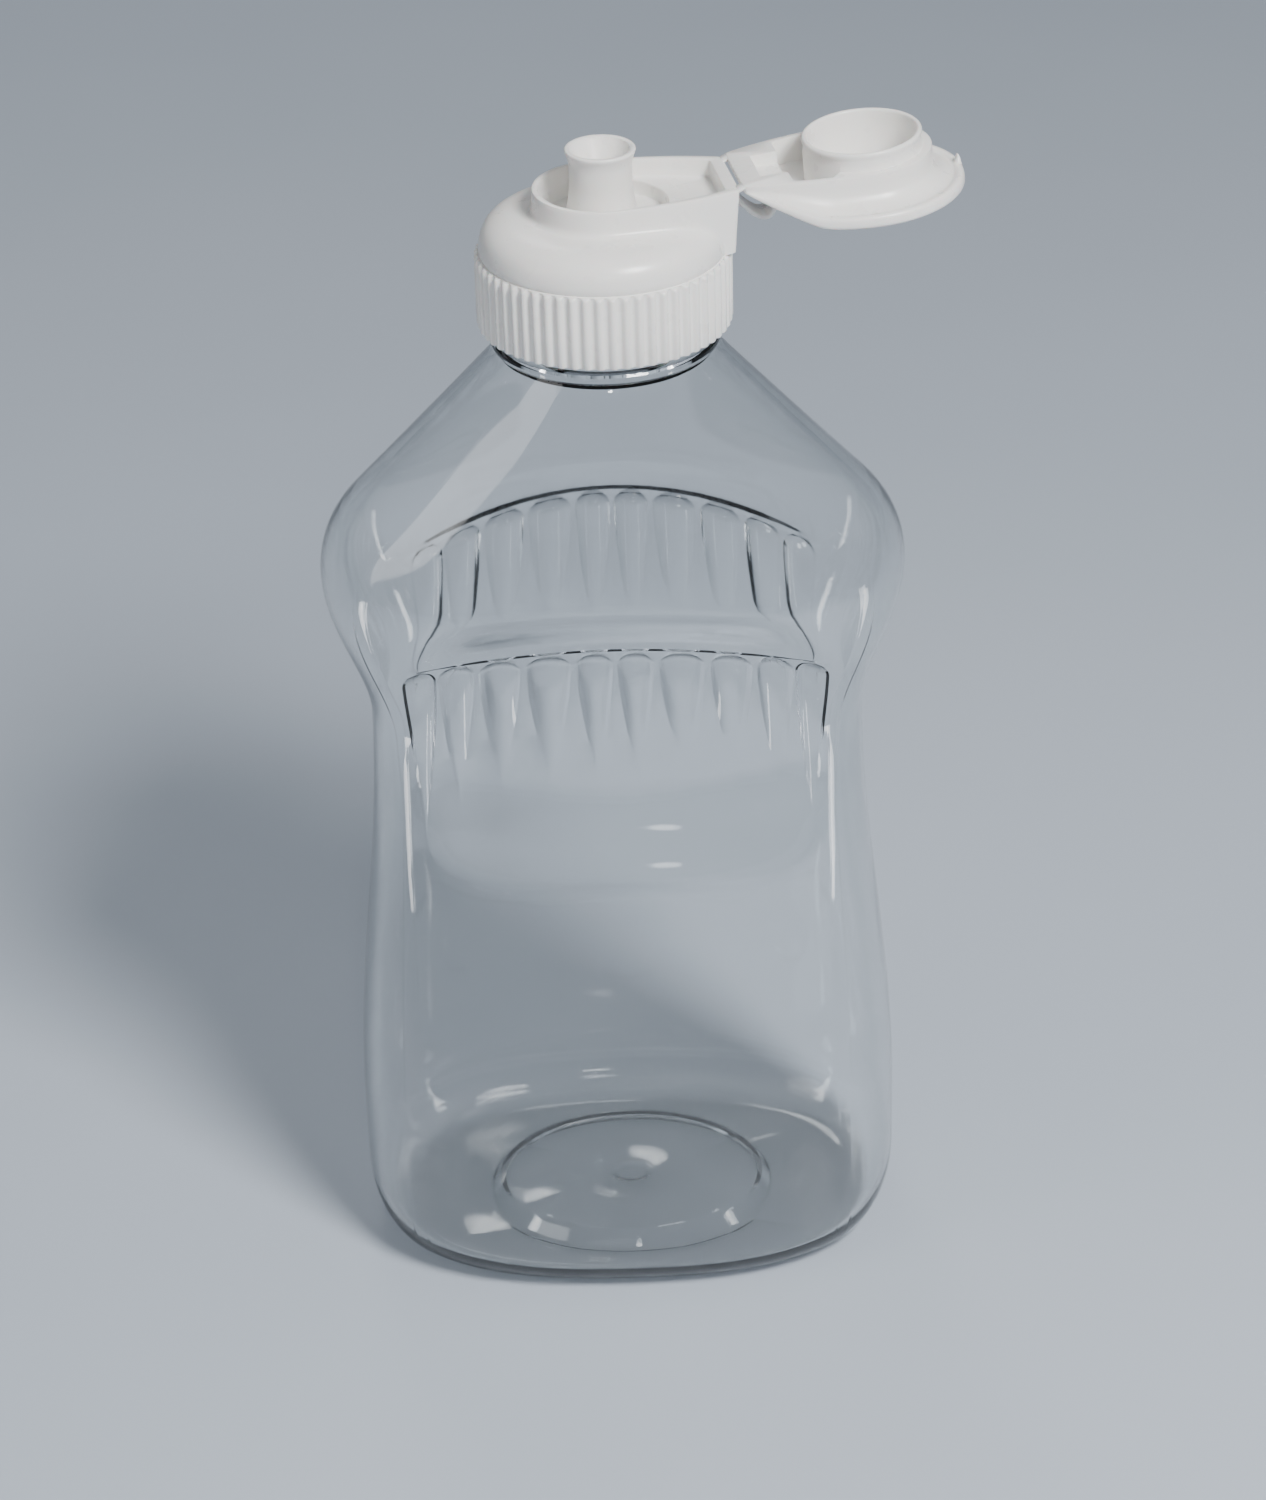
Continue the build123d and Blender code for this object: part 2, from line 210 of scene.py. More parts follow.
@dataclass
class Skin:
    """Closed skin through rings of points, whose counts may differ by a whole factor.

    Args:
        name: Name of the piece.
        rings: Rings of points in order, in millimetres.
        start: Point that closes the first ring, if any.
        end: Point that closes the last ring, if any.
        looped: True if the last ring joins the first.
        sharp: Angle in degrees above which an edge stays crisp.
    """

    name: str
    rings: list[Ring]
    start: Point | None = None
    end: Point | None = None
    looped: bool = False
    sharp: float = 50.0

    def bridge(self, first: list[int], second: list[int]) -> list[list[int]]:
        """Faces between two rings.

        Args:
            first: Vertex numbers of one ring.
            second: Vertex numbers of the next.

        Returns:
            Faces as lists of vertex numbers.
        """
        if len(first) < len(second):
            return [face[::-1] for face in self.bridge(second, first)]
        ratio = len(first) // len(second)
        faces = []
        for index, vertex in enumerate(second):
            wide = [first[(index * ratio + step) % len(first)] for step in range(ratio + 1)]
            faces.append(wide + [second[(index + 1) % len(second)], vertex])
        return faces

    def build(self) -> bpy.types.Object:
        """Makes the mesh and links it to the scene.

        Returns:
            New object, in metres.
        """
        points: list[Point] = []
        numbers: list[list[int]] = []
        for ring in self.rings:
            numbers.append(list(range(len(points), len(points) + len(ring))))
            points.extend(ring)
        pairs = list(zip(numbers, numbers[1:]))
        if self.looped:
            pairs.append((numbers[-1], numbers[0]))
        faces = [face for pair in pairs for face in self.bridge(*pair)]
        for pole, ring in ((self.start, numbers[0]), (self.end, numbers[-1])):
            if pole is not None:
                points.append(pole)
                faces += [[a, b, len(points) - 1] for a, b in zip(ring, ring[1:] + ring[:1])]
        mesh = bpy.data.meshes.new(self.name)
        mesh.from_pydata([tuple(c * MILLIMETRE for c in point) for point in points], [], faces)
        shape = bmesh.new()
        shape.from_mesh(mesh)
        bmesh.ops.recalc_face_normals(shape, faces=shape.faces)
        shape.to_mesh(mesh)
        shape.free()
        mesh.polygons.foreach_set("use_smooth", [True] * len(mesh.polygons))
        mesh.set_sharp_from_angle(angle=radians(self.sharp))
        piece = bpy.data.objects.new(self.name, mesh)
        bpy.context.scene.collection.objects.link(piece)
        log.info("%s: %d faces", self.name, len(mesh.polygons))
        return piece


class Paint:
    """Node material under construction, with its principled shader."""

    def __init__(self, name: str) -> None:
        """Starts an empty material of that name."""
        self.material = bpy.data.materials.new(name)
        self.material.use_nodes = True
        self.nodes = self.material.node_tree.nodes
        self.links = self.material.node_tree.links
        self.shader = self.nodes["Principled BSDF"]
        self.place = self.nodes.new("ShaderNodeTexCoord").outputs["Object"]

    def noise(
        self, scale: float, detail: float, stretch: Point = (1.0, 1.0, 1.0)
    ) -> bpy.types.NodeSocket:
        """Noise over the piece.

        Args:
            scale: Cells per metre.
            detail: Octaves of the noise.
            stretch: Factors on the three axes.

        Returns:
            Factor socket of the noise.
        """
        mapping = self.nodes.new("ShaderNodeMapping")
        mapping.inputs["Scale"].default_value = stretch
        self.links.new(self.place, mapping.inputs["Vector"])
        noise = self.nodes.new("ShaderNodeTexNoise")
        noise.inputs["Scale"].default_value = scale
        noise.inputs["Detail"].default_value = detail
        self.links.new(mapping.outputs["Vector"], noise.inputs["Vector"])
        return noise.outputs["Fac"]

    def vary(self, socket: str, source: bpy.types.NodeSocket, low: float, high: float) -> None:
        """Drives a number of the shader by a factor, between two values.

        Args:
            socket: Input of the shader.
            source: Factor from 0 to 1.
            low: Value where the factor is 0.
            high: Value where it is 1.
        """
        limits = self.nodes.new("ShaderNodeMapRange")
        limits.inputs["To Min"].default_value = low
        limits.inputs["To Max"].default_value = high
        self.links.new(source, limits.inputs["Value"])
        self.links.new(limits.outputs["Result"], self.shader.inputs[socket])

    def tint(self, source: bpy.types.NodeSocket, low: Point, high: Point) -> None:
        """Drives the base colour by a factor, between two colours.

        Args:
            source: Factor from 0 to 1.
            low: Colour where the factor is 0.
            high: Colour where it is 1.
        """
        colours = self.nodes.new("ShaderNodeValToRGB")
        colours.color_ramp.elements[0].color = (*low, 1.0)
        colours.color_ramp.elements[1].color = (*high, 1.0)
        self.links.new(source, colours.inputs["Fac"])
        self.links.new(colours.outputs["Color"], self.shader.inputs["Base Color"])

    def emboss(self, source: bpy.types.NodeSocket, strength: float, height: float) -> None:
        """Raises the surface by a factor.

        Args:
            source: Factor from 0 to 1.
            strength: How strongly the raised surface shows.
            height: Full rise in metres.
        """
        bump = self.nodes.new("ShaderNodeBump")
        bump.inputs["Strength"].default_value = strength
        bump.inputs["Distance"].default_value = height
        self.links.new(source, bump.inputs["Height"])
        self.links.new(bump.outputs["Normal"], self.shader.inputs["Normal"])


@dataclass(frozen=True)
class ClearPlastic:
    """Clear blown plastic with faint flow lines and handling haze."""

    refraction: float = 1.57
    low_colour: Point = (0.955, 0.975, 0.98)
    high_colour: Point = (0.985, 0.995, 1.0)
    smoothest: float = 0.015
    haziest: float = 0.06
    tint_scale: float = 22.0
    haze_scale: float = 60.0
    wave_scale: float = 55.0
    wave_stretch: Point = (1.0, 1.0, 0.45)
    wave_strength: float = 0.25
    wave_height: float = 0.00025

    def material(self) -> bpy.types.Material:
        """Makes the node material.

        Returns:
            Clear plastic.
        """
        paint = Paint("clear_plastic")
        paint.shader.inputs["Transmission Weight"].default_value = 1.0
        paint.shader.inputs["IOR"].default_value = self.refraction
        paint.tint(paint.noise(self.tint_scale, detail=2.0), self.low_colour, self.high_colour)
        haze = paint.noise(self.haze_scale, detail=4.0)
        paint.vary("Roughness", haze, self.smoothest, self.haziest)
        waves = paint.noise(self.wave_scale, detail=1.0, stretch=self.wave_stretch)
        paint.emboss(waves, self.wave_strength, self.wave_height)
        return paint.material


@dataclass(frozen=True)
class WhitePlastic:
    """White moulded plastic with a fine satin grain."""

    low_colour: Point = (0.84, 0.82, 0.785)
    high_colour: Point = (0.89, 0.875, 0.845)
    smoothest: float = 0.22
    roughest: float = 0.36
    tint_scale: float = 90.0
    satin_scale: float = 240.0
    grain_scale: float = 2600.0
    grain_strength: float = 0.2
    grain_height: float = 0.00002
    refraction: float = 1.49
    glow_weight: float = 0.12
    glow_depth: float = 0.0012

    def material(self) -> bpy.types.Material:
        """Makes the node material.

        Returns:
            White plastic.
        """
        paint = Paint("white_plastic")
        paint.shader.inputs["IOR"].default_value = self.refraction
        paint.shader.inputs["Subsurface Weight"].default_value = self.glow_weight
        paint.shader.inputs["Subsurface Scale"].default_value = self.glow_depth
        paint.tint(paint.noise(self.tint_scale, detail=3.0), self.low_colour, self.high_colour)
        satin = paint.noise(self.satin_scale, detail=4.0)
        paint.vary("Roughness", satin, self.smoothest, self.roughest)
        grain = paint.noise(self.grain_scale, detail=2.0)
        paint.emboss(grain, self.grain_strength, self.grain_height)
        return paint.material


@dataclass
class Bottle:
    """Blown bottle: oval body with a fluted grip, faceted shoulder and threaded neck, in millimetres.

    The arch, the ledge and the swell are forms of the grip. Their start, full and end values are
    distances from the grip's foot, its top or the shoulder, over which each form fades in and out.
    """

    heel_height: float = 13.0
    base_level: float = 24.0
    panel_level: float = 78.0
    hip_level: float = 92.0
    waist_level: float = 104.0
    shoulder_level: float = 130.0
    shoulder_top: float = 169.0
    base_width: float = 94.8
    base_depth: float = 67.0
    panel_depth: float = 62.5
    waist_width: float = 83.4
    waist_depth: float = 50.0
    shoulder_width: float = 97.6
    shoulder_depth: float = 61.0
    shoulder_width_round: float = 16.5
    shoulder_depth_round: float = 7.0
    heel_inset: float = 8.0
    wall: float = 0.6
    floor_wall: float = 1.1
    corner_x_shares: tuple[float, ...] = (0.80, 0.84, 0.86, 0.856, sqrt(0.5))
    corner_y_shares: tuple[float, ...] = (0.73, 0.76, 0.69, 0.655, sqrt(0.5))
    corner_ease_shares: tuple[float, ...] = (1.0, 0.9, 0.8, 0.0, 0.0)
    crease_band: float = 2.6
    push_up_width: float = 52.0
    push_up_depth: float = 41.0
    push_up_rise: float = 3.0
    push_up_slope: float = 4.3
    gate_radius: float = 3.6
    gate_drop: float = 0.7
    grip_half_width: float = 35.0
    grip_top: float = 128.5
    grip_top_drop: float = 8.0
    grip_foot: float = 101.0
    grip_foot_drop: float = 16.0
    grip_ledge: float = 0.9
    ledge_height: float = 0.5
    flute_gap: float = 0.6
    flute_round: float = 2.4
    flute_depth: float = 1.9
    flute_width_share: float = 0.9
    inner_flute_share: float = 0.25
    grip_swell: float = 1.55
    flute_edge_shares: tuple[float, ...] = (0.0, 0.184, 0.417, 0.634, 0.831, 1.0)
    flute_columns: int = 8
    flute_tip_share: float = 0.04
    flute_rest_share: float = 0.6
    flute_rest_run: float = 5.0
    arch_start: float = 17.0
    arch_full: float = 3.0
    arch_end: float = 20.0
    ledge_start: float = 2.0
    ledge_full: float = 3.0
    ledge_full_reach: float = 29.0
    ledge_reach: float = 34.5
    swell_start: float = 19.0
    swell_full: float = 5.0
    swell_end: float = 7.5
    swell_side: float = 14.0
    crease_step: float = 0.2
    side_columns: int = 13
    heel_rows: int = 9
    panel_rows: int = 22
    tip_rows: int = 24
    flute_rows: int = 18
    flute_end_rows: int = 9
    roof_rows: int = 29
    bead_rows: int = 8
    thread_rows: int = 26
    neck_radius: float = 17.5
    neck_bore: float = 15.6
    neck_top: float = 184.0
    neck_step: float = 0.5
    bead_radius: float = 18.8
    bead_level: float = 171.0
    bead_height: float = 2.4
    thread_start: float = 175.6
    thread_pitch: float = 4.2
    thread_turns: float = 1.2
    thread_rise: float = 1.0
    thread_run_out: float = 0.06
    thread_crest: float = 0.35
    thread_foot: float = 1.1
    lip_round: float = 0.4
    sharp: float = 22.0

    def roof(self, level: float, edge: float, rounding: float) -> float:
        """Half size above the shoulder: an arc from upright, then straight to the neck.

        Args:
            level: Level above the foot.
            edge: Half size at the shoulder.
            rounding: Radius of the arc.

        Returns:
            Half size at the level.
        """
        root = self.neck_radius + self.neck_step
        height = self.shoulder_top - self.shoulder_level
        run = root - (edge - rounding)
        turn = atan2(height, run) - acos(rounding / hypot(height, run))
        slope_size = edge - rounding + rounding * cos(turn)
        slope_rise = rounding * sin(turn)
        rise = level - self.shoulder_level
        if rise <= slope_rise:
            return edge - rounding + sqrt(rounding**2 - rise**2)
        return slope_size + (root - slope_size) * (rise - slope_rise) / (height - slope_rise)

    def half_sizes(self, level: float, inset: float, foot: float) -> Flat:
        """Half width and half depth of the body.

        Args:
            level: Level above the surface that the bottle stands on.
            inset: How far the section is drawn in.
            foot: Level where the heel ends.

        Returns:
            Half width and half depth.
        """
        if level > self.shoulder_level:
            width = self.roof(level, self.shoulder_width / 2, self.shoulder_width_round)
            depth = self.roof(level, self.shoulder_depth / 2, self.shoulder_depth_round)
            return width - inset, depth - inset
        widths = (
            (self.base_level, self.base_width),
            (self.waist_level, self.waist_width),
            (self.shoulder_level, self.shoulder_width),
        )
        depths = (
            (self.base_level, self.base_depth),
            (self.panel_level, self.panel_depth),
            (self.waist_level, self.waist_depth),
            (self.shoulder_level, self.shoulder_depth),
        )
        heel = 0.0
        if level < self.heel_height:
            share = (self.heel_height - level) / (self.heel_height - foot)
            heel = self.heel_inset * (1 - sqrt(max(0.0, 1 - share**2)))
        return along(widths, level) / 2 - heel - inset, along(depths, level) / 2 - heel - inset

    def side_curves(
        self, level: float, half_width: float, half_depth: float
    ) -> tuple[list[Flat], list[Flat]]:
        """Curves of a quarter of the section, which meet in an eased or crisp corner.

        Args:
            level: Level of the section.
            half_width: Half width there.
            half_depth: Half depth there.

        Returns:
            Control points from the front to the corner, and from the corner to the side.
        """
        levels = (
            self.base_level,
            self.hip_level,
            self.waist_level,
            self.shoulder_level,
            self.shoulder_top,
        )
        corner_x = half_width * along(list(zip(levels, self.corner_x_shares)), level)
        corner_y = half_depth * along(list(zip(levels, self.corner_y_shares)), level)
        eased = along(list(zip(levels, self.corner_ease_shares)), level)
        front_bow = half_depth - corner_y
        side_bow = half_width - corner_x
        front_radius = (corner_x**2 + front_bow**2) / (2 * front_bow)
        side_radius = (corner_y**2 + side_bow**2) / (2 * side_bow)
        front_angle = asin(corner_x / front_radius)
        side_angle = asin(corner_y / side_radius)
        front_pull = front_radius * tan(front_angle / 4) * 4 / 3
        side_pull = side_radius * tan(side_angle / 4) * 4 / 3
        turn = eased * (pi / 2 - front_angle - side_angle) / 2
        front = front_angle + turn
        side = side_angle + turn
        near = [
            (0.0, half_depth),
            (front_pull, half_depth),
            (corner_x - front_pull * cos(front), corner_y + front_pull * sin(front)),
            (corner_x, corner_y),
        ]
        far = [
            (corner_x, corner_y),
            (corner_x + side_pull * sin(side), corner_y - side_pull * cos(side)),
            (half_width, side_pull),
            (half_width, 0.0),
        ]
        return near, far

    def arch(self, level: float, x: float) -> float:
        """Drop of a row of points towards the sides, which follows the arched top of the grip.

        Args:
            level: Level of the row at the middle of the front.
            x: Distance from the middle of the front.

        Returns:
            Drop in millimetres.
        """
        lower = ramp(self.grip_foot - self.arch_start, self.grip_foot + self.arch_full, level)
        upper = ramp(self.shoulder_level + self.arch_end, self.shoulder_level, level)
        return self.grip_top_drop * lower * upper * min(x / self.grip_half_width, 1.0) ** 2

    def flute_hollow(self, level: float, middle: float) -> tuple[float, float]:
        """How full a flute is at a level: pointed at its foot and round at its top.

        Args:
            level: Level of the row at the middle of the front.
            middle: Distance of the flute from the middle of the front.

        Returns:
            Share of the full hollow, and how far the row lies outside the flute.
        """
        place = middle / self.grip_half_width
        rise = level - self.arch(level, middle)
        foot = self.grip_foot - self.grip_foot_drop * place**4
        top = self.grip_top - self.flute_gap - self.grip_top_drop * place**2
        if not foot < rise < top:
            return 0.0, max(foot - rise, rise - top)
        point = sin(pi / 2 * (rise - foot) / (top - foot))
        end = min((top - rise) / self.flute_round, 1.0)
        return (self.flute_width_share * point) ** 2 * end * (2 - end), 0.0

    def grip_columns(self, level: float) -> list[Flat]:
        """Columns across half the grip, which run along the edges of the flutes.

        Args:
            level: Level of the row at the middle of the front.

        Returns:
            Pairs of distance from the middle of the front and depth of the flute there.
        """
        edges = [self.grip_half_width * share for share in self.flute_edge_shares]
        columns = []
        for edge, next_edge in zip(edges, edges[1:]):
            middle = (edge + next_edge) / 2
            hollow, outside = self.flute_hollow(level, middle)
            rest = self.flute_rest_share * ramp(0.0, self.flute_rest_run, outside)
            width = (next_edge - edge) / 2 * max(sqrt(hollow), self.flute_tip_share, rest)
            columns.append((edge, 0.0))
            for place in spread(-1.0, 1.0, self.flute_columns):
                columns.append((middle + width * place, self.flute_depth * hollow * (1 - place**2)))
        return columns + [(edges[-1], 0.0)]

    def ledge(self, level: float, x: float) -> float:
        """Depth of the step under the arched top of the grip, which runs out towards the foot and sides.

        Args:
            level: Level of the row at the middle of the front.
            x: Distance from the middle of the front.

        Returns:
            Depth in millimetres.
        """
        step = min(max((self.grip_top - level) / self.ledge_height, 0.0), 1.0)
        fade = ramp(self.grip_foot + self.ledge_start, self.grip_top - self.ledge_full, level)
        return self.grip_ledge * step * fade * (1 - ramp(self.ledge_full_reach, self.ledge_reach, x))

    def swell(self, level: float, x: float) -> float:
        """How far the wall behind the grip has grown to the thickness that the flutes cut into.

        Args:
            level: Level of the row at the middle of the front.
            x: Distance from the middle of the front.

        Returns:
            Share of the full growth.
        """
        lower = ramp(self.grip_foot - self.swell_start, self.grip_foot - self.swell_full, level)
        upper = ramp(self.grip_top + self.swell_end, self.grip_top, level)
        return lower * upper * ramp(self.grip_half_width, self.grip_half_width - self.swell_side, x)

    def quarter(self, level: float, inset: float, foot: float) -> Ring:
        """Points of a quarter of a row, from the middle of the front to the middle of the side.

        Args:
            level: Level of the row at the middle of the front.
            inset: How far it is drawn in.
            foot: Level where the heel ends.

        Returns:
            Points with their outward x and y.
        """
        points = []
        share = 0.0
        for place, depth in self.grip_columns(level):
            z = level - self.arch(level, place)
            near, _ = self.side_curves(z, *self.half_sizes(z, inset, foot))
            held = min(max(z, self.heel_height), self.shoulder_level)
            share = place / self.side_curves(held, *self.half_sizes(held, 0.0, 0.0))[0][-1][0]
            x, y = curve_point(near, share)
            ahead = curve_point(near, share + 0.01)
            slope = Vector((ahead[0] - x, ahead[1] - y)).normalized()
            cut = depth + self.ledge(level, place)
            if inset:
                cut += self.swell(level, place) * (self.grip_swell - (1 - self.inner_flute_share) * cut)
            points.append((x + slope.y * cut, y - slope.x * cut, z))
        z = level - self.arch(level, self.grip_half_width)
        half_width, half_depth = self.half_sizes(z, inset, foot)
        near, far = self.side_curves(z, half_width, half_depth)
        near_length = hypot(near[-1][0], half_depth - near[-1][1])
        far_length = hypot(half_width - far[0][0], far[0][1])
        near_end = max(1 - self.crease_band / 2 / near_length, share + 0.008)
        far_start = self.crease_band / 2 / far_length
        shares = spread(share, near_end - 0.3 * (near_end - share), 2)[1:]
        shares += [near_end - min(self.crease_step / near_length, 0.1 * (near_end - shares[-1])), near_end]
        points += [(*curve_point(near, place), z) for place in shares]
        shares = [far_start] + spread(far_start + self.crease_step / far_length, 1.0, self.side_columns)
        return points + [(*curve_point(far, place), z) for place in shares]

    def section(self, level: float, inset: float, foot: float) -> Ring:
        """Whole section at a level, as a ring that starts at the middle of the front.

        Args:
            level: Level of the row at the middle of the front.
            inset: How far it is drawn in.
            foot: Level where the heel ends.

        Returns:
            Points of the ring.
        """
        quarter = self.quarter(level, inset, foot)
        right_back = [(x, y, z) for x, y, z in reversed(quarter)][1:]
        left_back = [(-x, y, z) for x, y, z in quarter][1:]
        left_front = [(-x, -y, z) for x, y, z in reversed(quarter)][1:-1]
        return [(x, -y, z) for x, y, z in quarter] + right_back + left_back + left_front

    def round_ring(self, level: float, radius: Callable[[float], float] | float) -> Ring:
        """Ring of the neck, in step with the columns of the body.

        Args:
            level: Level of the ring.
            radius: Radius, or radius by angle.

        Returns:
            Points of the ring.
        """
        ring = []
        for x, y, _ in self.section(self.shoulder_top, 0.0, 0.0):
            angle = atan2(y, x)
            size = radius(angle) if callable(radius) else radius
            ring.append((size * cos(angle), size * sin(angle), level))
        return ring

    def levels(self, foot: float) -> list[float]:
        """Levels of the body's sections, close together at the heel, the grip and the shoulder.

        Args:
            foot: Level where the heel ends.

        Returns:
            Levels in rising order.
        """
        turns = spread(0.0, pi / 2, self.heel_rows)
        heel = [foot + (self.heel_height - foot) * (1 - cos(turn)) for turn in turns]
        top = self.grip_top
        panel = spread(self.heel_height, self.grip_foot - self.arch_start, self.panel_rows)
        tips = spread(panel[-1], self.grip_foot + self.arch_full, self.tip_rows)
        flutes = spread(tips[-1], top - self.flute_gap - self.flute_round, self.flute_rows)
        ends = spread(flutes[-1], top - self.flute_gap, self.flute_end_rows)
        ledge = [top - self.ledge_height, top - 0.5 * self.ledge_height, top]
        roof = spread(top + 0.4, self.shoulder_top, self.roof_rows)
        return heel + panel[1:] + tips[1:] + flutes[1:] + ends[1:] + ledge + roof

    def floor_rings(self, lift: float) -> list[Ring]:
        """Rings of the push-up, from its middle to its edge.

        Args:
            lift: How far the rings stand above the underside.

        Returns:
            Rings that follow the columns of the body.
        """
        foot = self.section(0.0, 0.0, 0.0)
        directions = [atan2(y / self.base_depth, x / self.base_width) for x, y, _ in foot]
        outer = (self.push_up_width / 2 + lift, self.push_up_depth / 2 + lift)
        slope = self.push_up_slope
        steps = [
            (0.04, self.push_up_rise - self.gate_drop),
            (0.75 * self.gate_radius / outer[0], self.push_up_rise - self.gate_drop),
            (self.gate_radius / outer[0], self.push_up_rise - 0.1),
            (1.25 * self.gate_radius / outer[0], self.push_up_rise + 0.15),
            (0.5, self.push_up_rise + 0.1),
            (1 - slope / outer[0], self.push_up_rise),
            (1 - 0.75 * slope / outer[0], self.push_up_rise * 0.86),
            (1 - 0.3 * slope / outer[0], self.push_up_rise * 0.16),
            (1.0, 0.0),
        ]
        return [
            [
                (outer[0] * share * cos(turn), outer[1] * share * sin(turn), rise + lift)
                for turn in directions
            ]
            for share, rise in steps
        ]

    def thread(self, level: float) -> Callable[[float], float]:
        """Radius of the neck by angle at a level, with the screw thread on it.

        Args:
            level: Level on the neck.

        Returns:
            Function that gives the radius at an angle.
        """

        def radius(angle: float) -> float:
            """Radius at an angle.

            Args:
                angle: Direction from the axis.

            Returns:
                Radius in millimetres.
            """
            rise = 0.0
            for lap in range(3):
                turns = angle / (2 * pi) + lap
                centre = self.thread_start + turns * self.thread_pitch
                start = ramp(0.0, self.thread_run_out, turns)
                end = ramp(self.thread_turns, self.thread_turns - self.thread_run_out, turns)
                across = 1 - ramp(self.thread_crest, self.thread_foot, abs(level - centre))
                rise += self.thread_rise * (start * end) * across
            return self.neck_radius + rise

        return radius

    def neck_rings(self) -> list[Ring]:
        """Rings of the neck, from the shoulder over the bead and thread, over the lip and down the bore.

        Returns:
            Rings that follow the columns of the body.
        """
        rings = []
        for turn in spread(-pi / 2, pi / 2, self.bead_rows):
            reach = (self.bead_radius - self.neck_radius) * cos(turn)
            level = self.bead_level + self.bead_height / 2 * sin(turn)
            rings.append(self.round_ring(level, self.neck_radius + reach))
        bead_top = self.bead_level + self.bead_height / 2
        for level in spread(bead_top + self.lip_round, self.neck_top - 1.0, self.thread_rows):
            rings.append(self.round_ring(level, self.thread(level)))
        for radius, level in (
            (self.neck_radius, self.neck_top - self.lip_round),
            (self.neck_radius - self.lip_round, self.neck_top),
            (self.neck_bore + self.lip_round, self.neck_top),
            (self.neck_bore, self.neck_top - self.lip_round),
            (self.neck_bore, self.shoulder_top + 4),
            (self.neck_bore, self.shoulder_top + 0.5),
        ):
            rings.append(self.round_ring(level, radius))
        return rings

    def build(self) -> bpy.types.Object:
        """Makes the bottle as one closed skin, outside and inside.

        Returns:
            New object.
        """
        outside = [self.section(level, 0.0, 0.0) for level in self.levels(0.0)]
        foot = self.floor_wall
        inside = [self.section(level, self.wall, foot) for level in self.levels(foot)]
        rings = self.floor_rings(0.0) + outside + self.neck_rings() + inside[::-1]
        rings += self.floor_rings(self.floor_wall)[::-1]
        middle = self.push_up_rise - self.gate_drop
        under = (0.0, 0.0, middle)
        over = (0.0, 0.0, middle + self.floor_wall)
        return Skin("bottle_shell", rings, under, over, sharp=self.sharp).build()

    def dress(self, finish: ClearPlastic) -> bpy.types.Object:
        """Builds the bottle, paints it and sets it on the frame.

        Args:
            finish: Finish of the wall.

        Returns:
            Finished piece.
        """
        piece = self.build()
        piece.data.materials.append(finish.material())
        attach(piece, Body.BOTTLE.value)
        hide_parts("bottle")
        return piece


@dataclass
class ClosurePlan:
    """Sizes that the cap, the lid and the living hinge share, in millimetres and degrees."""

    closure_turn: float = 9.7
    rim_level: float = 196.5
    collar_radius: float = 11.1
    hinge_reach: float = 21.1
    hinge_half_width: float = 7.4
    hinge_corner: float = 0.5
    lid_open: float = 175.5
    pivot_reach: float = 21.35
    pivot_rise: float = 0.35
    rim_gap: float = 0.15
    sharp: float = 40.0

    def axes(self) -> tuple[Vector, Vector]:
        """Directions towards the hinge and along it, level and square to each other."""
        turn = radians(self.closure_turn)
        return Vector((cos(turn), sin(turn), 0.0)), Vector((-sin(turn), cos(turn), 0.0))

    def on_cap(self, u: float, v: float, z: float) -> Point:
        """Place of a point of the cap, from its distances towards and along the hinge and its level."""
        toward, across = self.axes()
        return tuple(toward * u + across * v + Vector((0.0, 0.0, z)))

    def on_lid(self, u: float, v: float, w: float) -> Point:
        """Place of a point of the open lid, from where it lies on the closed lid.

        Args:
            u: Distance from the axis towards the hinge.
            v: Distance from the axis along the hinge.
            w: Rise above the rim.

        Returns:
            Point in the frame, in millimetres.
        """
        toward, across = self.axes()
        swing = radians(self.lid_open)
        upward = Vector((0.0, 0.0, 1.0))
        lid_x = toward * cos(swing) - upward * sin(swing)
        lid_z = toward * sin(swing) + upward * cos(swing)
        pivot = toward * self.pivot_reach + upward * (self.rim_level + self.pivot_rise)
        return tuple(pivot + lid_x * (u - self.pivot_reach) + across * v + lid_z * (w - self.pivot_rise))

    def outline(self, angle: float, radius: float, inset: float = 0.0) -> float:
        """Distance from the axis to the drop-shaped outline of that radius, drawn in by an inset."""
        half_width = self.hinge_half_width - inset
        return drop_radius(angle, radius - inset, half_width, self.hinge_reach - inset, self.hinge_corner)


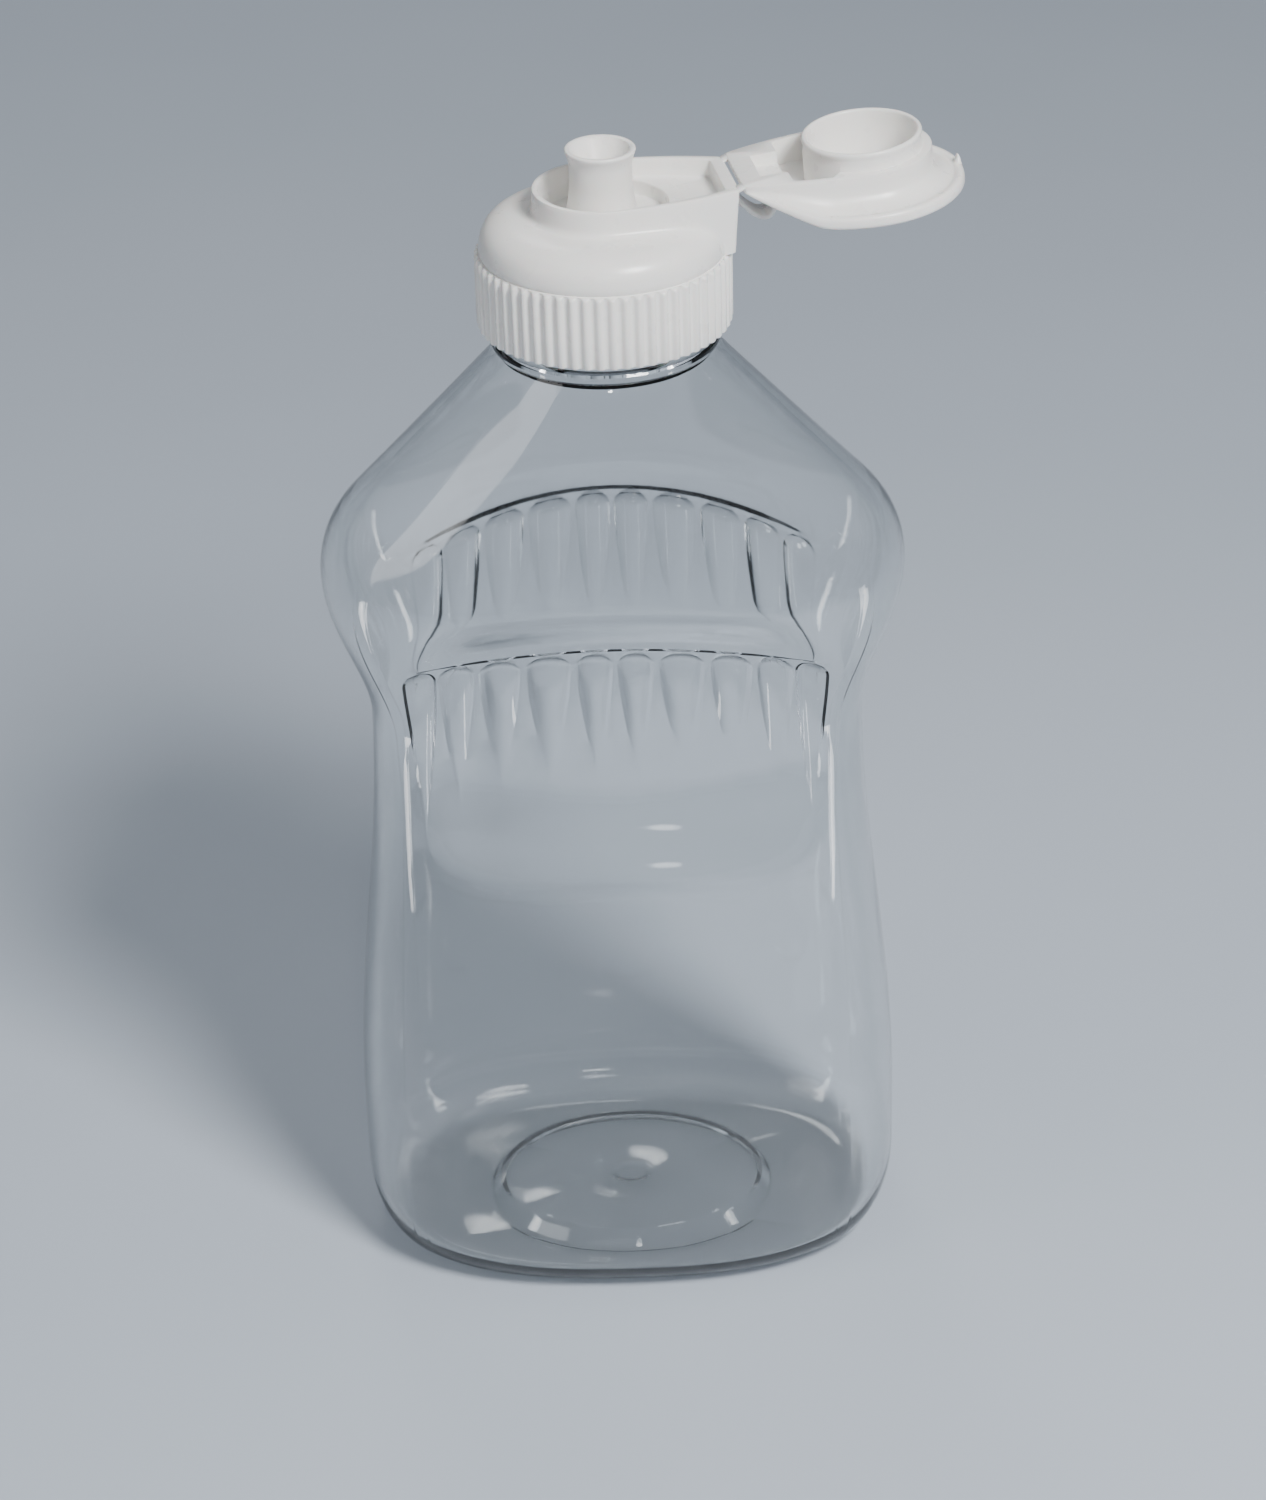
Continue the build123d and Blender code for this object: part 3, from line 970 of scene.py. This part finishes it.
@dataclass
class Cap:
    """Screw cap: ribbed skirt, dome, drop-shaped collar and spout, in millimetres."""

    plan: ClosurePlan
    skirt_bottom: float = 173.6
    skirt_top: float = 186.0
    skirt_radius: float = 20.1
    skirt_bore: float = 18.9
    rib_count: int = 60
    rib_columns: int = 10
    rib_radius: float = 0.65
    rib_stop: float = 0.1
    ledge_round: float = 0.25
    groove_depth: float = 0.2
    dome_radius: float = 20.0
    dome_rise: float = 6.3
    dome_full_share: float = 0.74
    dome_fillet: float = 1.3
    collar_foot_radius: float = 11.6
    hinge_foot_reach: float = 20.4
    collar_wall: float = 1.0
    rim_round: float = 0.25
    pocket_radius: float = 10.4
    pocket_shift: float = 0.3
    pocket_depth: float = 5.4
    channel_depth: float = 3.0
    channel_end_wall: float = 2.2
    spout_top: float = 203.0
    lip_radius: float = 5.7
    lip_height: float = 3.2
    spout_radius: float = 5.05
    spout_foot_radius: float = 6.6
    spout_foot_height: float = 6.2
    lip_bore: float = 4.8
    spout_bore: float = 3.0
    funnel_depth: float = 3.2
    ceiling_wall: float = 1.2
    seal_radius: float = 15.3
    seal_wall: float = 1.2
    seal_top: float = 184.3
    seal_drop: float = 4.0
    seal_fillet: float = 0.5
    seal_lead: float = 0.4
    seal_lead_height: float = 0.8
    edge_round: float = 0.3
    spout_columns: int = 120

    def rib(self, angle: float) -> float:
        """How far the ribs stand out of the skirt.

        Args:
            angle: Direction from the hinge.

        Returns:
            Height above the skirt, zero between the ribs.
        """
        pitch = 2 * pi / self.rib_count
        offset = ((angle + pitch / 2) % pitch - pitch / 2) * self.skirt_radius
        return sqrt(max(0.0, self.rib_radius**2 - offset**2))

    def skirt_profile(self, angle: float) -> list[Flat]:
        """Outside of the skirt, from its bottom edge to the ledge.

        Args:
            angle: Direction from the hinge.

        Returns:
            Pairs of radius and level.
        """
        rib = self.rib(angle)
        radius = self.skirt_radius
        stop = self.skirt_top - self.rib_stop - self.rib_radius
        profile = [
            (radius - 0.3, self.skirt_bottom),
            (radius + 0.75 * rib - 0.08, self.skirt_bottom + 0.12),
            (radius + rib, self.skirt_bottom + 0.5),
            (radius + rib, (self.skirt_bottom + stop) / 2),
        ]
        for turn in spread(0.0, pi / 2, 4):
            profile.append((radius + rib * cos(turn), stop + self.rib_radius * sin(turn)))
        inner = radius - self.ledge_round
        tower = self.collar_outside(angle, self.skirt_top)
        if tower > self.dome_radius:
            inner = tower
        return profile + [
            (radius, self.skirt_top - self.ledge_round),
            (radius + 0.3 * (inner - radius), self.skirt_top - 0.28 * self.ledge_round),
            (inner, self.skirt_top),
        ]

    def collar_outside(self, angle: float, level: float) -> float:
        """Distance from the axis to the outside of the collar.

        Args:
            angle: Direction from the hinge.
            level: Level of the place.

        Returns:
            Distance in millimetres.
        """
        foot = drop_radius(
            angle,
            self.collar_foot_radius,
            self.plan.hinge_half_width,
            self.hinge_foot_reach,
            self.plan.hinge_corner,
        )
        rim = self.plan.outline(angle, self.plan.collar_radius)
        share = (level - self.skirt_top) / (self.plan.rim_level - self.skirt_top)
        return foot + (rim - foot) * share

    def dome_point(self, share: float) -> Flat:
        """Point of the dome's curve.

        Args:
            share: Place along the curve, from the dome's foot to its crown.

        Returns:
            Radius and level.
        """
        run = (self.dome_radius - self.plan.collar_radius) * self.dome_full_share
        top = self.skirt_top + self.dome_rise
        curve = [
            (self.dome_radius, self.skirt_top),
            (self.dome_radius, self.skirt_top + self.dome_rise * self.dome_full_share),
            (self.plan.collar_radius + run, top),
            (self.plan.collar_radius, top),
        ]
        return curve_point(curve, share)

    def dome_end(self, angle: float) -> float:
        """Share of the dome's curve at which it meets the collar.

        Args:
            angle: Direction from the hinge.

        Returns:
            Place along the curve, zero where the collar covers the dome.
        """
        low, high = 0.0, 1.0
        if self.collar_outside(angle, self.skirt_top) >= self.dome_radius:
            return 0.0
        for _ in range(40):
            middle = (low + high) / 2
            radius, level = self.dome_point(middle)
            if radius > self.collar_outside(angle, level):
                low = middle
            else:
                high = middle
        return low

    def dome_profile(self, angle: float) -> list[Flat]:
        """Groove, dome, the hollow turn into the collar and the collar's wall, up to its rim.

        Args:
            angle: Direction from the hinge.

        Returns:
            Pairs of radius and level.
        """
        end = self.dome_end(angle)
        rim = self.plan.rim_level - self.rim_round
        if end > 0:
            meeting = self.dome_point(end)
            before = self.dome_point(0.98 * end)
            pace = hypot(meeting[0] - before[0], meeting[1] - before[1]) / 0.02
            start = end * max(1 - self.dome_fillet / max(pace, 1e-4), 0.35)
            foot = min(0.03, 0.2 * end)
            profile = [(self.dome_radius - self.groove_depth, self.skirt_top + 0.02)]
            profile += [self.dome_point(share) for share in spread(foot, start, 14)]
        else:
            meeting = (self.collar_outside(angle, self.skirt_top), self.skirt_top)
            levels = spread(self.skirt_top + 0.02, self.skirt_top + 0.6, 15)
            profile = [(self.collar_outside(angle, level), level) for level in levels]
        fillet_top = min(meeting[1] + self.dome_fillet, rim - 0.2)
        wall = (self.collar_outside(angle, fillet_top), fillet_top)
        middle = max(meeting[1], profile[-1][1])
        turn = [profile[-1], (self.collar_outside(angle, middle), middle), wall]
        profile += trace(turn, 6)[1:]
        levels = spread(fillet_top, rim, 4)[1:]
        return profile + [(self.collar_outside(angle, level), level) for level in levels]

    def inside_profile(self, angle: float) -> list[Flat]:
        """Rim of the collar, its channel and the pocket, down to the pocket's floor.

        Args:
            angle: Direction from the hinge.

        Returns:
            Pairs of radius and level.
        """
        rim = self.plan.rim_level
        outer = self.plan.outline(angle, self.plan.collar_radius)
        half_width = self.plan.hinge_half_width - self.collar_wall
        reach = self.plan.hinge_reach - self.channel_end_wall
        channel = drop_radius(angle, self.plan.collar_radius - self.collar_wall, half_width, reach, 0.4)
        shift = self.pocket_shift
        pocket = shift * cos(angle) + sqrt(self.pocket_radius**2 - (shift * sin(angle)) ** 2)
        channel = max(channel, pocket + 0.02)
        ledge = rim - self.channel_depth
        floor = rim - self.pocket_depth
        step = min(0.3, (channel - pocket) / 2)
        round_off = self.rim_round
        return [
            (outer - 0.3 * round_off, rim - 0.3 * round_off),
            (outer - round_off, rim),
            (channel + round_off, rim),
            (channel + 0.3 * round_off, rim - 0.3 * round_off),
            (channel, rim - round_off),
            (channel, (rim + ledge) / 2),
            (channel, ledge + step),
            (channel - 0.3 * step, ledge + 0.3 * step),
            (channel - step, ledge),
            (pocket + 0.5 * step, ledge),
            (pocket, ledge - 0.5 * step - 0.02),
            (pocket, (ledge + floor) / 2),
            (pocket, floor + 0.4),
            (pocket - 0.12, floor + 0.12),
            (pocket - 0.4, floor),
            (self.spout_foot_radius + 1.6, floor),
        ]

    def spout_profile(self) -> list[Flat]:
        """Spout, its bore and the inside of the cap, from the spout's foot to the skirt's bottom edge.

        Returns:
            Pairs of radius and level.
        """
        floor = self.plan.rim_level - self.pocket_depth
        ceiling = floor - self.ceiling_wall
        top = self.spout_top
        waist = floor + self.spout_foot_height
        lip = self.lip_radius
        foot = [
            (self.spout_foot_radius, floor),
            (self.spout_radius + 0.35, floor + 0.8),
            (self.spout_radius, waist),
        ]
        neck = [
            (self.spout_radius, top - self.lip_height),
            (self.spout_radius + 0.03, top - 0.55 * self.lip_height),
            (lip - 0.05, top - 0.55),
        ]
        profile = [(self.spout_foot_radius + 0.5, floor)]
        profile += trace(foot, 10) + trace(neck, 8)
        funnel = top - self.funnel_depth
        profile += [
            (lip, top - 0.35),
            (lip - 0.03, top - 0.16),
            (lip - 0.14, top - 0.03),
            (lip - 0.3, top),
            (self.lip_bore + 0.25, top),
            (self.lip_bore, top - 0.15),
            (self.lip_bore - 0.15, top - 0.6),
            (self.spout_bore + 0.15, funnel + 0.2),
            (self.spout_bore, funnel - 0.2),
        ]
        profile += [(self.spout_bore, level) for level in spread(funnel - 2, ceiling + 0.3, 3)]
        profile += [(self.spout_bore + 0.3, ceiling)]
        inner_seal = self.seal_radius - self.seal_wall
        seal_foot = self.seal_top - self.seal_drop
        profile += [
            (inner_seal - self.seal_fillet, ceiling),
            (inner_seal, ceiling - self.seal_fillet),
            (inner_seal, seal_foot + self.edge_round),
            (inner_seal + self.edge_round, seal_foot),
            (self.seal_radius - self.seal_lead, seal_foot),
            (self.seal_radius, seal_foot + self.seal_lead_height),
            (self.seal_radius, self.seal_top),
            (self.skirt_bore - self.edge_round, self.seal_top),
            (self.skirt_bore, self.seal_top - self.edge_round),
            (self.skirt_bore, self.skirt_bottom + 0.4),
            (self.skirt_bore + self.edge_round, self.skirt_bottom),
        ]
        return profile

    def build(self) -> bpy.types.Object:
        """Makes the cap as one closed skin.

        Returns:
            New object.
        """
        angles = around(self.rib_count * self.rib_columns)
        profiles = [
            self.skirt_profile(angle) + self.dome_profile(angle) + self.inside_profile(angle)
            for angle in angles
        ]
        rings = swept(self.plan.on_cap, angles, profiles)
        spout = [self.spout_profile()] * self.spout_columns
        rings += swept(self.plan.on_cap, around(self.spout_columns), spout)
        return Skin("cap_moulding", rings, looped=True, sharp=self.plan.sharp).build()

    def dress(self, finish: bpy.types.Material) -> bpy.types.Object:
        """Builds the cap, paints it and sets it on the frame.

        Args:
            finish: White plastic.

        Returns:
            Finished piece.
        """
        piece = self.build()
        piece.data.materials.append(finish)
        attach(piece, Body.CAP.value)
        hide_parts("cap")
        return piece


@dataclass
class Lid:
    """Lid as it lies on the closed cap: crown, flared brim, wall, cup and plug, in millimetres."""

    plan: ClosurePlan
    crown_rise: float = 9.0
    crown_drop: float = 1.8
    crown_rear_rise: float = 1.3
    ramp_start: float = 6.0
    ramp_round: float = 0.5
    brim_radius: float = 16.0
    brim_level: float = 6.2
    brim_bead: float = 1.1
    flare_level: float = 3.2
    nib_half_width: float = 0.8
    nib_drop: float = 1.3
    cup_radius: float = 9.7
    cup_drop: float = 2.8
    cup_bore: float = 8.8
    cup_neck: float = 0.3
    bowl_rise: float = 7.6
    bowl_floor_radius: float = 6.1
    lid_wall: float = 1.1
    well_rise: float = 4.4
    well_half_angle: float = 55.0
    well_end: float = 13.2
    slot_rise: float = 2.2
    slot_half_width: float = 4.4
    slot_end: float = 17.6
    plug_radius: float = 2.65
    plug_length: float = 5.0
    columns: int = 360

    def crown(self, u: float, v: float) -> float:
        """Rise of the crown: a shallow ball that turns into a ramp down to the hinge.

        Args:
            u: Distance from the axis towards the hinge.
            v: Distance from the axis along the hinge.

        Returns:
            Rise above the rim.
        """
        ball = (self.brim_radius**2 + self.crown_drop**2) / (2 * self.crown_drop)
        dome = self.crown_rise - ball + sqrt(ball**2 - u**2 - v**2)
        slope = (self.crown_rise - self.crown_rear_rise) / (self.plan.hinge_reach - self.ramp_start)
        return soft_min(dome, self.crown_rise - slope * (u - self.ramp_start), self.ramp_round)

    def nib(self, angle: float) -> float:
        """How far the thumb nib at the front of the brim hangs below it."""
        offset = abs(angle - pi) * self.brim_radius
        return self.nib_drop * (1 - ramp(0.3 * self.nib_half_width, 1.3 * self.nib_half_width, offset))

    def outside_profile(self, angle: float) -> list[Flat]:
        """Crown, rounded brim, its bead, the hollow flare and the wall, down to the rim.

        Args:
            angle: Direction from the hinge.

        Returns:
            Pairs of radius and rise.
        """
        brim = self.plan.outline(angle, self.brim_radius)
        wall = self.plan.outline(angle, self.plan.collar_radius)
        run = brim - wall

        def top(radius: float) -> float:
            """Rise of the crown at a distance from the axis."""
            return self.crown(radius * cos(angle), radius * sin(angle))

        edge = top(brim)
        low = self.plan.rim_gap + 0.2
        height = (edge - low) / (self.crown_rise - self.crown_drop - low)
        bead = self.brim_bead * run / (self.brim_radius - self.plan.collar_radius)

        def rise(level: float) -> float:
            """Level of the full brim, brought down with the crown towards the hinge."""
            return low + (level - low) * height

        lower = self.brim_level
        profile = [(radius, top(radius)) for radius in spread(0.04 * brim, brim - 0.7, 18)]
        turn = [(brim - 0.6, top(brim - 0.6)), (brim, edge), (brim, rise(lower + 0.4))]
        profile += trace(turn, 5)
        under = lower - self.brim_bead + 0.1
        nib = self.nib(angle)
        over = [
            (brim, rise(lower - 0.1)),
            (brim - 0.1 * bead, rise(under - nib)),
            (brim - 0.6 * bead, rise(under - nib)),
        ]
        profile += trace(over, 5)
        hollow = (brim - 1.55 * bead, rise(under + 0.3))
        profile += [
            (brim - 1.05 * bead, rise(under + 0.02)),
            (brim - 1.35 * bead, rise(under + 0.22)),
            hollow,
        ]
        flare = [hollow, (wall + 0.22 * run, rise(under + 0.15)), (wall, rise(self.flare_level))]
        profile += trace(flare, 8)[1:]
        foot = rise(self.flare_level)
        return profile + [
            (wall, (foot + low) / 2),
            (wall, low),
            (wall - 0.06, low - 0.14),
            (wall - 0.2, low - 0.2),
        ]

    def inside_profile(self, angle: float) -> list[Flat]:
        """Rim, slot, well and the outside of the cup, to the cup's lip.

        Args:
            angle: Direction from the hinge.

        Returns:
            Pairs of radius and rise.
        """
        rim = self.plan.rim_gap
        inner = self.plan.outline(angle, self.plan.collar_radius, self.lid_wall)
        cup = self.cup_radius
        turned = abs((angle + pi) % (2 * pi) - pi)
        well, slot = cup + 0.12, cup + 0.18
        well_rise = rim + 0.02
        slot_rise = rim + 0.01
        if turned < radians(self.well_half_angle):
            well = max(min(inner, self.well_end / cos(turned)), well)
            well_rise = self.well_rise
            side = self.slot_half_width / max(sin(turned), 1e-6)
            slot = min(self.slot_end / cos(turned), side)
            slot_rise = self.slot_rise if slot > well else rim + 0.01
            slot = max(slot, well + 0.06)
        edge = slot + 0.05
        return [
            (edge + 0.12, rim),
            (edge, rim + 0.005),
            (slot + 0.02, slot_rise - 0.1 * (slot_rise - rim)),
            (slot - 0.02, slot_rise),
            (well + 0.02, slot_rise),
            (well, slot_rise + 0.1 * (well_rise - slot_rise)),
            (well - 0.02, well_rise - 0.05 * (well_rise - slot_rise)),
            (well - 0.06, well_rise),
            (cup + 0.04, well_rise),
            (cup, well_rise - 0.1 * (well_rise - rim) - 0.01),
            (cup - 0.05, rim - 0.3),
            (cup - self.cup_neck, -0.45 * self.cup_drop),
            (cup - 0.3 * self.cup_neck, -self.cup_drop + 0.9),
            (cup, -self.cup_drop + 0.5),
            (cup - 0.06, -self.cup_drop + 0.22),
            (cup - 0.22, -self.cup_drop + 0.06),
            (cup - 0.45, -self.cup_drop),
        ]

    def bowl_profile(self) -> list[Flat]:
        """Lip of the cup, its bowl and the plug, to the plug's tip.

        Returns:
            Pairs of radius and rise.
        """
        bore = self.cup_bore
        top = self.bowl_rise
        bowl = [
            (bore, -self.cup_drop + 0.4),
            (bore, 2.5),
            (self.bowl_floor_radius + 1.2, top - 0.6),
            (self.bowl_floor_radius, top),
        ]
        tip = top - self.plug_length
        profile = [(bore + 0.2, -self.cup_drop + 0.06), (bore + 0.06, -self.cup_drop + 0.2)]
        profile += trace(bowl, 14)
        plug = self.plug_radius
        profile += [(plug + 0.6, top), (plug + 0.12, top - 0.12), (plug, top - 0.6)]
        profile += [(plug, tip + 0.5), (plug - 0.15, tip + 0.15), (plug - 0.5, tip)]
        return profile + [(0.8, tip)]

    def build(self) -> bpy.types.Object:
        """Makes the lid as one closed skin, opened about its hinge.

        Returns:
            New object.
        """
        angles = around(self.columns)
        profiles = [
            self.outside_profile(angle) + self.inside_profile(angle) + self.bowl_profile()
            for angle in angles
        ]
        rings = swept(self.plan.on_lid, angles, profiles)
        crown = self.plan.on_lid(0.0, 0.0, self.crown_rise)
        tip = self.plan.on_lid(0.0, 0.0, self.bowl_rise - self.plug_length)
        return Skin("lid_moulding", rings, crown, tip, sharp=self.plan.sharp).build()

    def dress(self, finish: bpy.types.Material) -> bpy.types.Object:
        """Builds the lid, paints it and sets it on the frame.

        Args:
            finish: White plastic.

        Returns:
            Finished piece.
        """
        piece = self.build()
        piece.data.materials.append(finish)
        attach(piece, Body.LID.value)
        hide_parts("lid")
        return piece


@dataclass
class LivingHinge:
    """Two films and the bowed strap between them, in millimetres."""

    plan: ClosurePlan
    lid: Lid
    film_width: float = 2.2
    film_thickness: float = 0.5
    strap_width: float = 5.2
    strap_thickness: float = 0.7
    strap_drop: float = 1.9
    strap_lead: float = 2.9
    strap_fall: float = 4.2
    strap_hang: float = 8.4
    strap_lid_reach: float = 14.9
    strap_steps: int = 28
    film_steps: int = 10
    film_root: float = 0.35
    edge_round: float = 0.15
    sharp: float = 60.0

    def in_plane(self, place: Point) -> Flat:
        """Distance towards the hinge and level of a place."""
        toward, _ = self.plan.axes()
        return Vector(place).dot(toward), place[2]

    def band(
        self, name: str, line: Sequence[Flat], thickness: float, v_start: float, v_end: float
    ) -> bpy.types.Object:
        """Flat band along a line, with rounded edges.

        Args:
            name: Name of the piece.
            line: Middle of the band, as distances towards the hinge and levels.
            thickness: Thickness of the band.
            v_start: Where the band starts along the hinge.
            v_end: Where it ends.

        Returns:
            New object.
        """
        rings = []
        half = thickness / 2
        soft = min(self.edge_round, half * 0.6)
        for index, (u, z) in enumerate(line):
            before = line[max(index - 1, 0)]
            after = line[min(index + 1, len(line) - 1)]
            along_line = Vector((after[0] - before[0], after[1] - before[1])).normalized()
            up = Vector((-along_line.y, along_line.x))
            corners = [
                (v_start, -half + soft),
                (v_start + soft, -half),
                (v_end - soft, -half),
                (v_end, -half + soft),
                (v_end, half - soft),
                (v_end - soft, half),
                (v_start + soft, half),
                (v_start, half - soft),
            ]
            rings.append([self.plan.on_cap(u + up.x * h, v, z + up.y * h) for v, h in corners])
        first = self.plan.on_cap(line[0][0], (v_start + v_end) / 2, line[0][1])
        last = self.plan.on_cap(line[-1][0], (v_start + v_end) / 2, line[-1][1])
        return Skin(name, rings, first, last, sharp=self.sharp).build()

    def film_line(self) -> list[Flat]:
        """Middle of the films, from inside the collar's end wall to inside the lid's.

        Returns:
            Distances towards the hinge and levels.
        """
        low = self.film_thickness / 2
        root = self.plan.hinge_reach - self.film_root
        start = (root, self.plan.rim_level - low)
        end = self.in_plane(self.plan.on_lid(root, 0.0, self.plan.rim_gap + low))
        return trace((start, end), self.film_steps)

    def strap_line(self) -> list[Flat]:
        """Middle of the strap: a loop that hangs down from the tower and turns up to the lid's crown.

        Returns:
            Distances towards the hinge and levels.
        """
        start = (self.plan.hinge_reach - self.strap_thickness, self.plan.rim_level - self.strap_drop)
        rise = self.lid.crown(self.strap_lid_reach, 0.0) - self.strap_thickness
        end = self.in_plane(self.plan.on_lid(self.strap_lid_reach, 0.0, rise))
        curve = [
            start,
            (start[0] + self.strap_lead, start[1] - self.strap_fall),
            (end[0], end[1] - self.strap_hang),
            end,
        ]
        return trace(curve, self.strap_steps)

    def join(
        self, piece: bpy.types.Object, finish: bpy.types.Material, node: str, line: Sequence[Flat]
    ) -> None:
        """Paints a band and bends it between the cap and the lid.

        Args:
            piece: Band to set on the frame.
            finish: White plastic.
            node: Solid that the band stands for.
            line: Middle of the band.
        """
        piece.data.materials.append(finish)
        start = Vector(self.plan.on_cap(line[0][0], 0.0, line[0][1])) * MILLIMETRE
        end = Vector(self.plan.on_cap(line[-1][0], 0.0, line[-1][1])) * MILLIMETRE
        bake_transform(piece)
        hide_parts(node)

    def dress(self, finish: bpy.types.Material) -> list[bpy.types.Object]:
        """Builds the films and the strap.

        Args:
            finish: White plastic.

        Returns:
            The three pieces.
        """
        films = self.film_line()
        strap = self.strap_line()
        reach = self.plan.hinge_half_width
        pieces = [
            self.band("hinge_film_near", films, self.film_thickness, -reach, -reach + self.film_width),
            self.band("hinge_film_far", films, self.film_thickness, reach - self.film_width, reach),
        ]
        for piece in pieces:
            self.join(piece, finish, "hinge_films", films)
        half = self.strap_width / 2
        bowed = self.band("hinge_strap_bow", strap, self.strap_thickness, -half, half)
        self.join(bowed, finish, "hinge_strap", strap)
        return pieces + [bowed]


@dataclass(frozen=True)
class Lamp:
    """Round soft light: its name, where it hangs, its width in metres and its power in watts."""

    name: str
    place: Point
    size: float
    power: float


@dataclass
class Studio:
    """Pale floor, soft lights and the camera at the photograph's angle, in metres and degrees."""

    floor_size: float = 16.0
    floor_drop: float = 0.0003
    floor_low: Point = (0.47, 0.525, 0.60)
    floor_high: Point = (0.52, 0.575, 0.65)
    floor_tint_scale: float = 6.0
    floor_grain_scale: float = 20.0
    floor_smoothest: float = 0.55
    floor_roughest: float = 0.7
    sky_colour: Point = (0.84, 0.89, 0.95)
    horizon_colour: Point = (0.10, 0.115, 0.14)
    horizon_rise: float = 0.12
    sky_rise: float = 0.75
    sky_strength: float = 0.4
    lamps: tuple[Lamp, ...] = (
        Lamp("key_light", (0.32, -0.46, 0.70), 0.24, 9.0),
        Lamp("fill_light", (-0.85, -0.45, 0.55), 0.55, 1.5),
        Lamp("back_light", (-0.15, 0.75, 0.85), 0.30, 1.0),
        Lamp("front_window", (0.06, -1.10, 0.66), 0.08, 1.2),
    )
    strip_side: float = 0.143
    strip_front: float = 0.046
    strip_level: float = 0.07
    strip_width: float = 0.016
    strip_height: float = 0.11
    strip_power: float = 0.045
    image_height: float = 1500.0
    focal_pixels: float = 4076.0
    sensor: float = 36.0
    nearest: float = 0.01
    farthest: float = 50.0
    elevation: float = 30.33
    roll: float = -1.66
    distance: float = 0.700
    target: Point = (0.0025, 0.0, 0.09249)

    def floor(self) -> bpy.types.Object:
        """Makes the floor.

        Returns:
            Floor, outside the part.
        """
        half = self.floor_size / 2
        mesh = bpy.data.meshes.new("floor")
        corners = [(-half, -half), (half, -half), (half, half), (-half, half)]
        mesh.from_pydata([(x, y, -self.floor_drop) for x, y in corners], [], [(0, 1, 2, 3)])
        floor = bpy.data.objects.new("floor", mesh)
        bpy.context.scene.collection.objects.link(floor)
        paint = Paint("pale_floor")
        paint.tint(paint.noise(self.floor_tint_scale, detail=3.0), self.floor_low, self.floor_high)
        grain = paint.noise(self.floor_grain_scale, detail=2.0)
        paint.vary("Roughness", grain, self.floor_smoothest, self.floor_roughest)
        mesh.materials.append(paint.material)
        return floor

    def sky(self) -> None:
        """Sets a soft overhead glow that falls off to a dim horizon, which keeps clear edges readable."""
        world = bpy.data.worlds.new("studio")
        world.use_nodes = True
        nodes, links = world.node_tree.nodes, world.node_tree.links
        split = nodes.new("ShaderNodeSeparateXYZ")
        links.new(nodes.new("ShaderNodeTexCoord").outputs["Generated"], split.inputs["Vector"])
        glow = nodes.new("ShaderNodeValToRGB")
        glow.color_ramp.elements[0].color = (*self.horizon_colour, 1.0)
        glow.color_ramp.elements[0].position = self.horizon_rise
        glow.color_ramp.elements[1].color = (*self.sky_colour, 1.0)
        glow.color_ramp.elements[1].position = self.sky_rise
        links.new(split.outputs["Z"], glow.inputs["Fac"])
        background = nodes["Background"]
        links.new(glow.outputs["Color"], background.inputs["Color"])
        background.inputs["Strength"].default_value = self.sky_strength
        bpy.context.scene.world = world

    def light(self, lamp: Lamp) -> None:
        """Adds a round soft light that faces the bottle.

        Args:
            lamp: Light to hang.
        """
        light = bpy.data.lights.new(lamp.name, "AREA")
        light.shape = "DISK"
        light.size = lamp.size
        light.energy = lamp.power
        holder = bpy.data.objects.new(lamp.name, light)
        holder.location = lamp.place
        inward = Vector(self.target) - Vector(lamp.place)
        holder.rotation_euler = inward.to_track_quat("-Z", "Y").to_euler()
        bpy.context.scene.collection.objects.link(holder)

    def strip(self, name: str, x: float) -> None:
        """Adds an upright strip light that only shows as a gleam in the plastic.

        Args:
            name: Name of the strip.
            x: Where it stands beside the bottle.
        """
        light = bpy.data.lights.new(name, "AREA")
        light.shape = "RECTANGLE"
        light.size = self.strip_width
        light.size_y = self.strip_height
        light.energy = self.strip_power
        holder = bpy.data.objects.new(name, light)
        holder.location = (x, -self.strip_front, self.strip_level)
        inward = Vector((-x, self.strip_front, 0.0))
        holder.rotation_euler = inward.to_track_quat("-Z", "Y").to_euler()
        holder.visible_diffuse = False
        bpy.context.scene.collection.objects.link(holder)

    def camera(self) -> None:
        """Sets the camera at the photograph's angle, distance and lens."""
        lift = radians(self.elevation)
        tilt = radians(self.roll)
        back = Vector((0.0, -cos(lift), sin(lift)))
        right = Vector((1.0, 0.0, 0.0))
        up = back.cross(right)
        across = right * cos(tilt) + up * sin(tilt)
        upward = up * cos(tilt) - right * sin(tilt)
        lens = bpy.data.cameras.new("camera")
        lens.sensor_fit = "VERTICAL"
        lens.sensor_height = self.sensor
        lens.lens = self.focal_pixels * self.sensor / self.image_height
        lens.clip_start = self.nearest
        lens.clip_end = self.farthest
        camera = bpy.data.objects.new("camera", lens)
        bpy.context.scene.collection.objects.link(camera)
        place = Vector(self.target) + back * self.distance
        stance = Matrix((across, upward, back)).transposed().to_4x4()
        camera.matrix_world = Matrix.Translation(place) @ stance
        bpy.context.scene.camera = camera

    def build(self) -> None:
        """Sets up the floor, the lights and the camera."""
        self.floor()
        self.sky()
        for lamp in self.lamps:
            self.light(lamp)
        self.strip("left_strip", -self.strip_side)
        self.strip("right_strip", self.strip_side)
        self.camera()


def main() -> None:
    """Builds the bottle, the closure and the studio, and reports each piece."""
    plan = ClosurePlan()
    lid = Lid(plan)
    white = WhitePlastic().material()
    pieces = [Bottle().dress(ClearPlastic()), Cap(plan).dress(white), lid.dress(white)]
    pieces += LivingHinge(plan, lid).dress(white)
    for piece in pieces:
        log.info("dressed %s", piece.name)
    Studio().build()


if __name__ == "__main__":
    main()
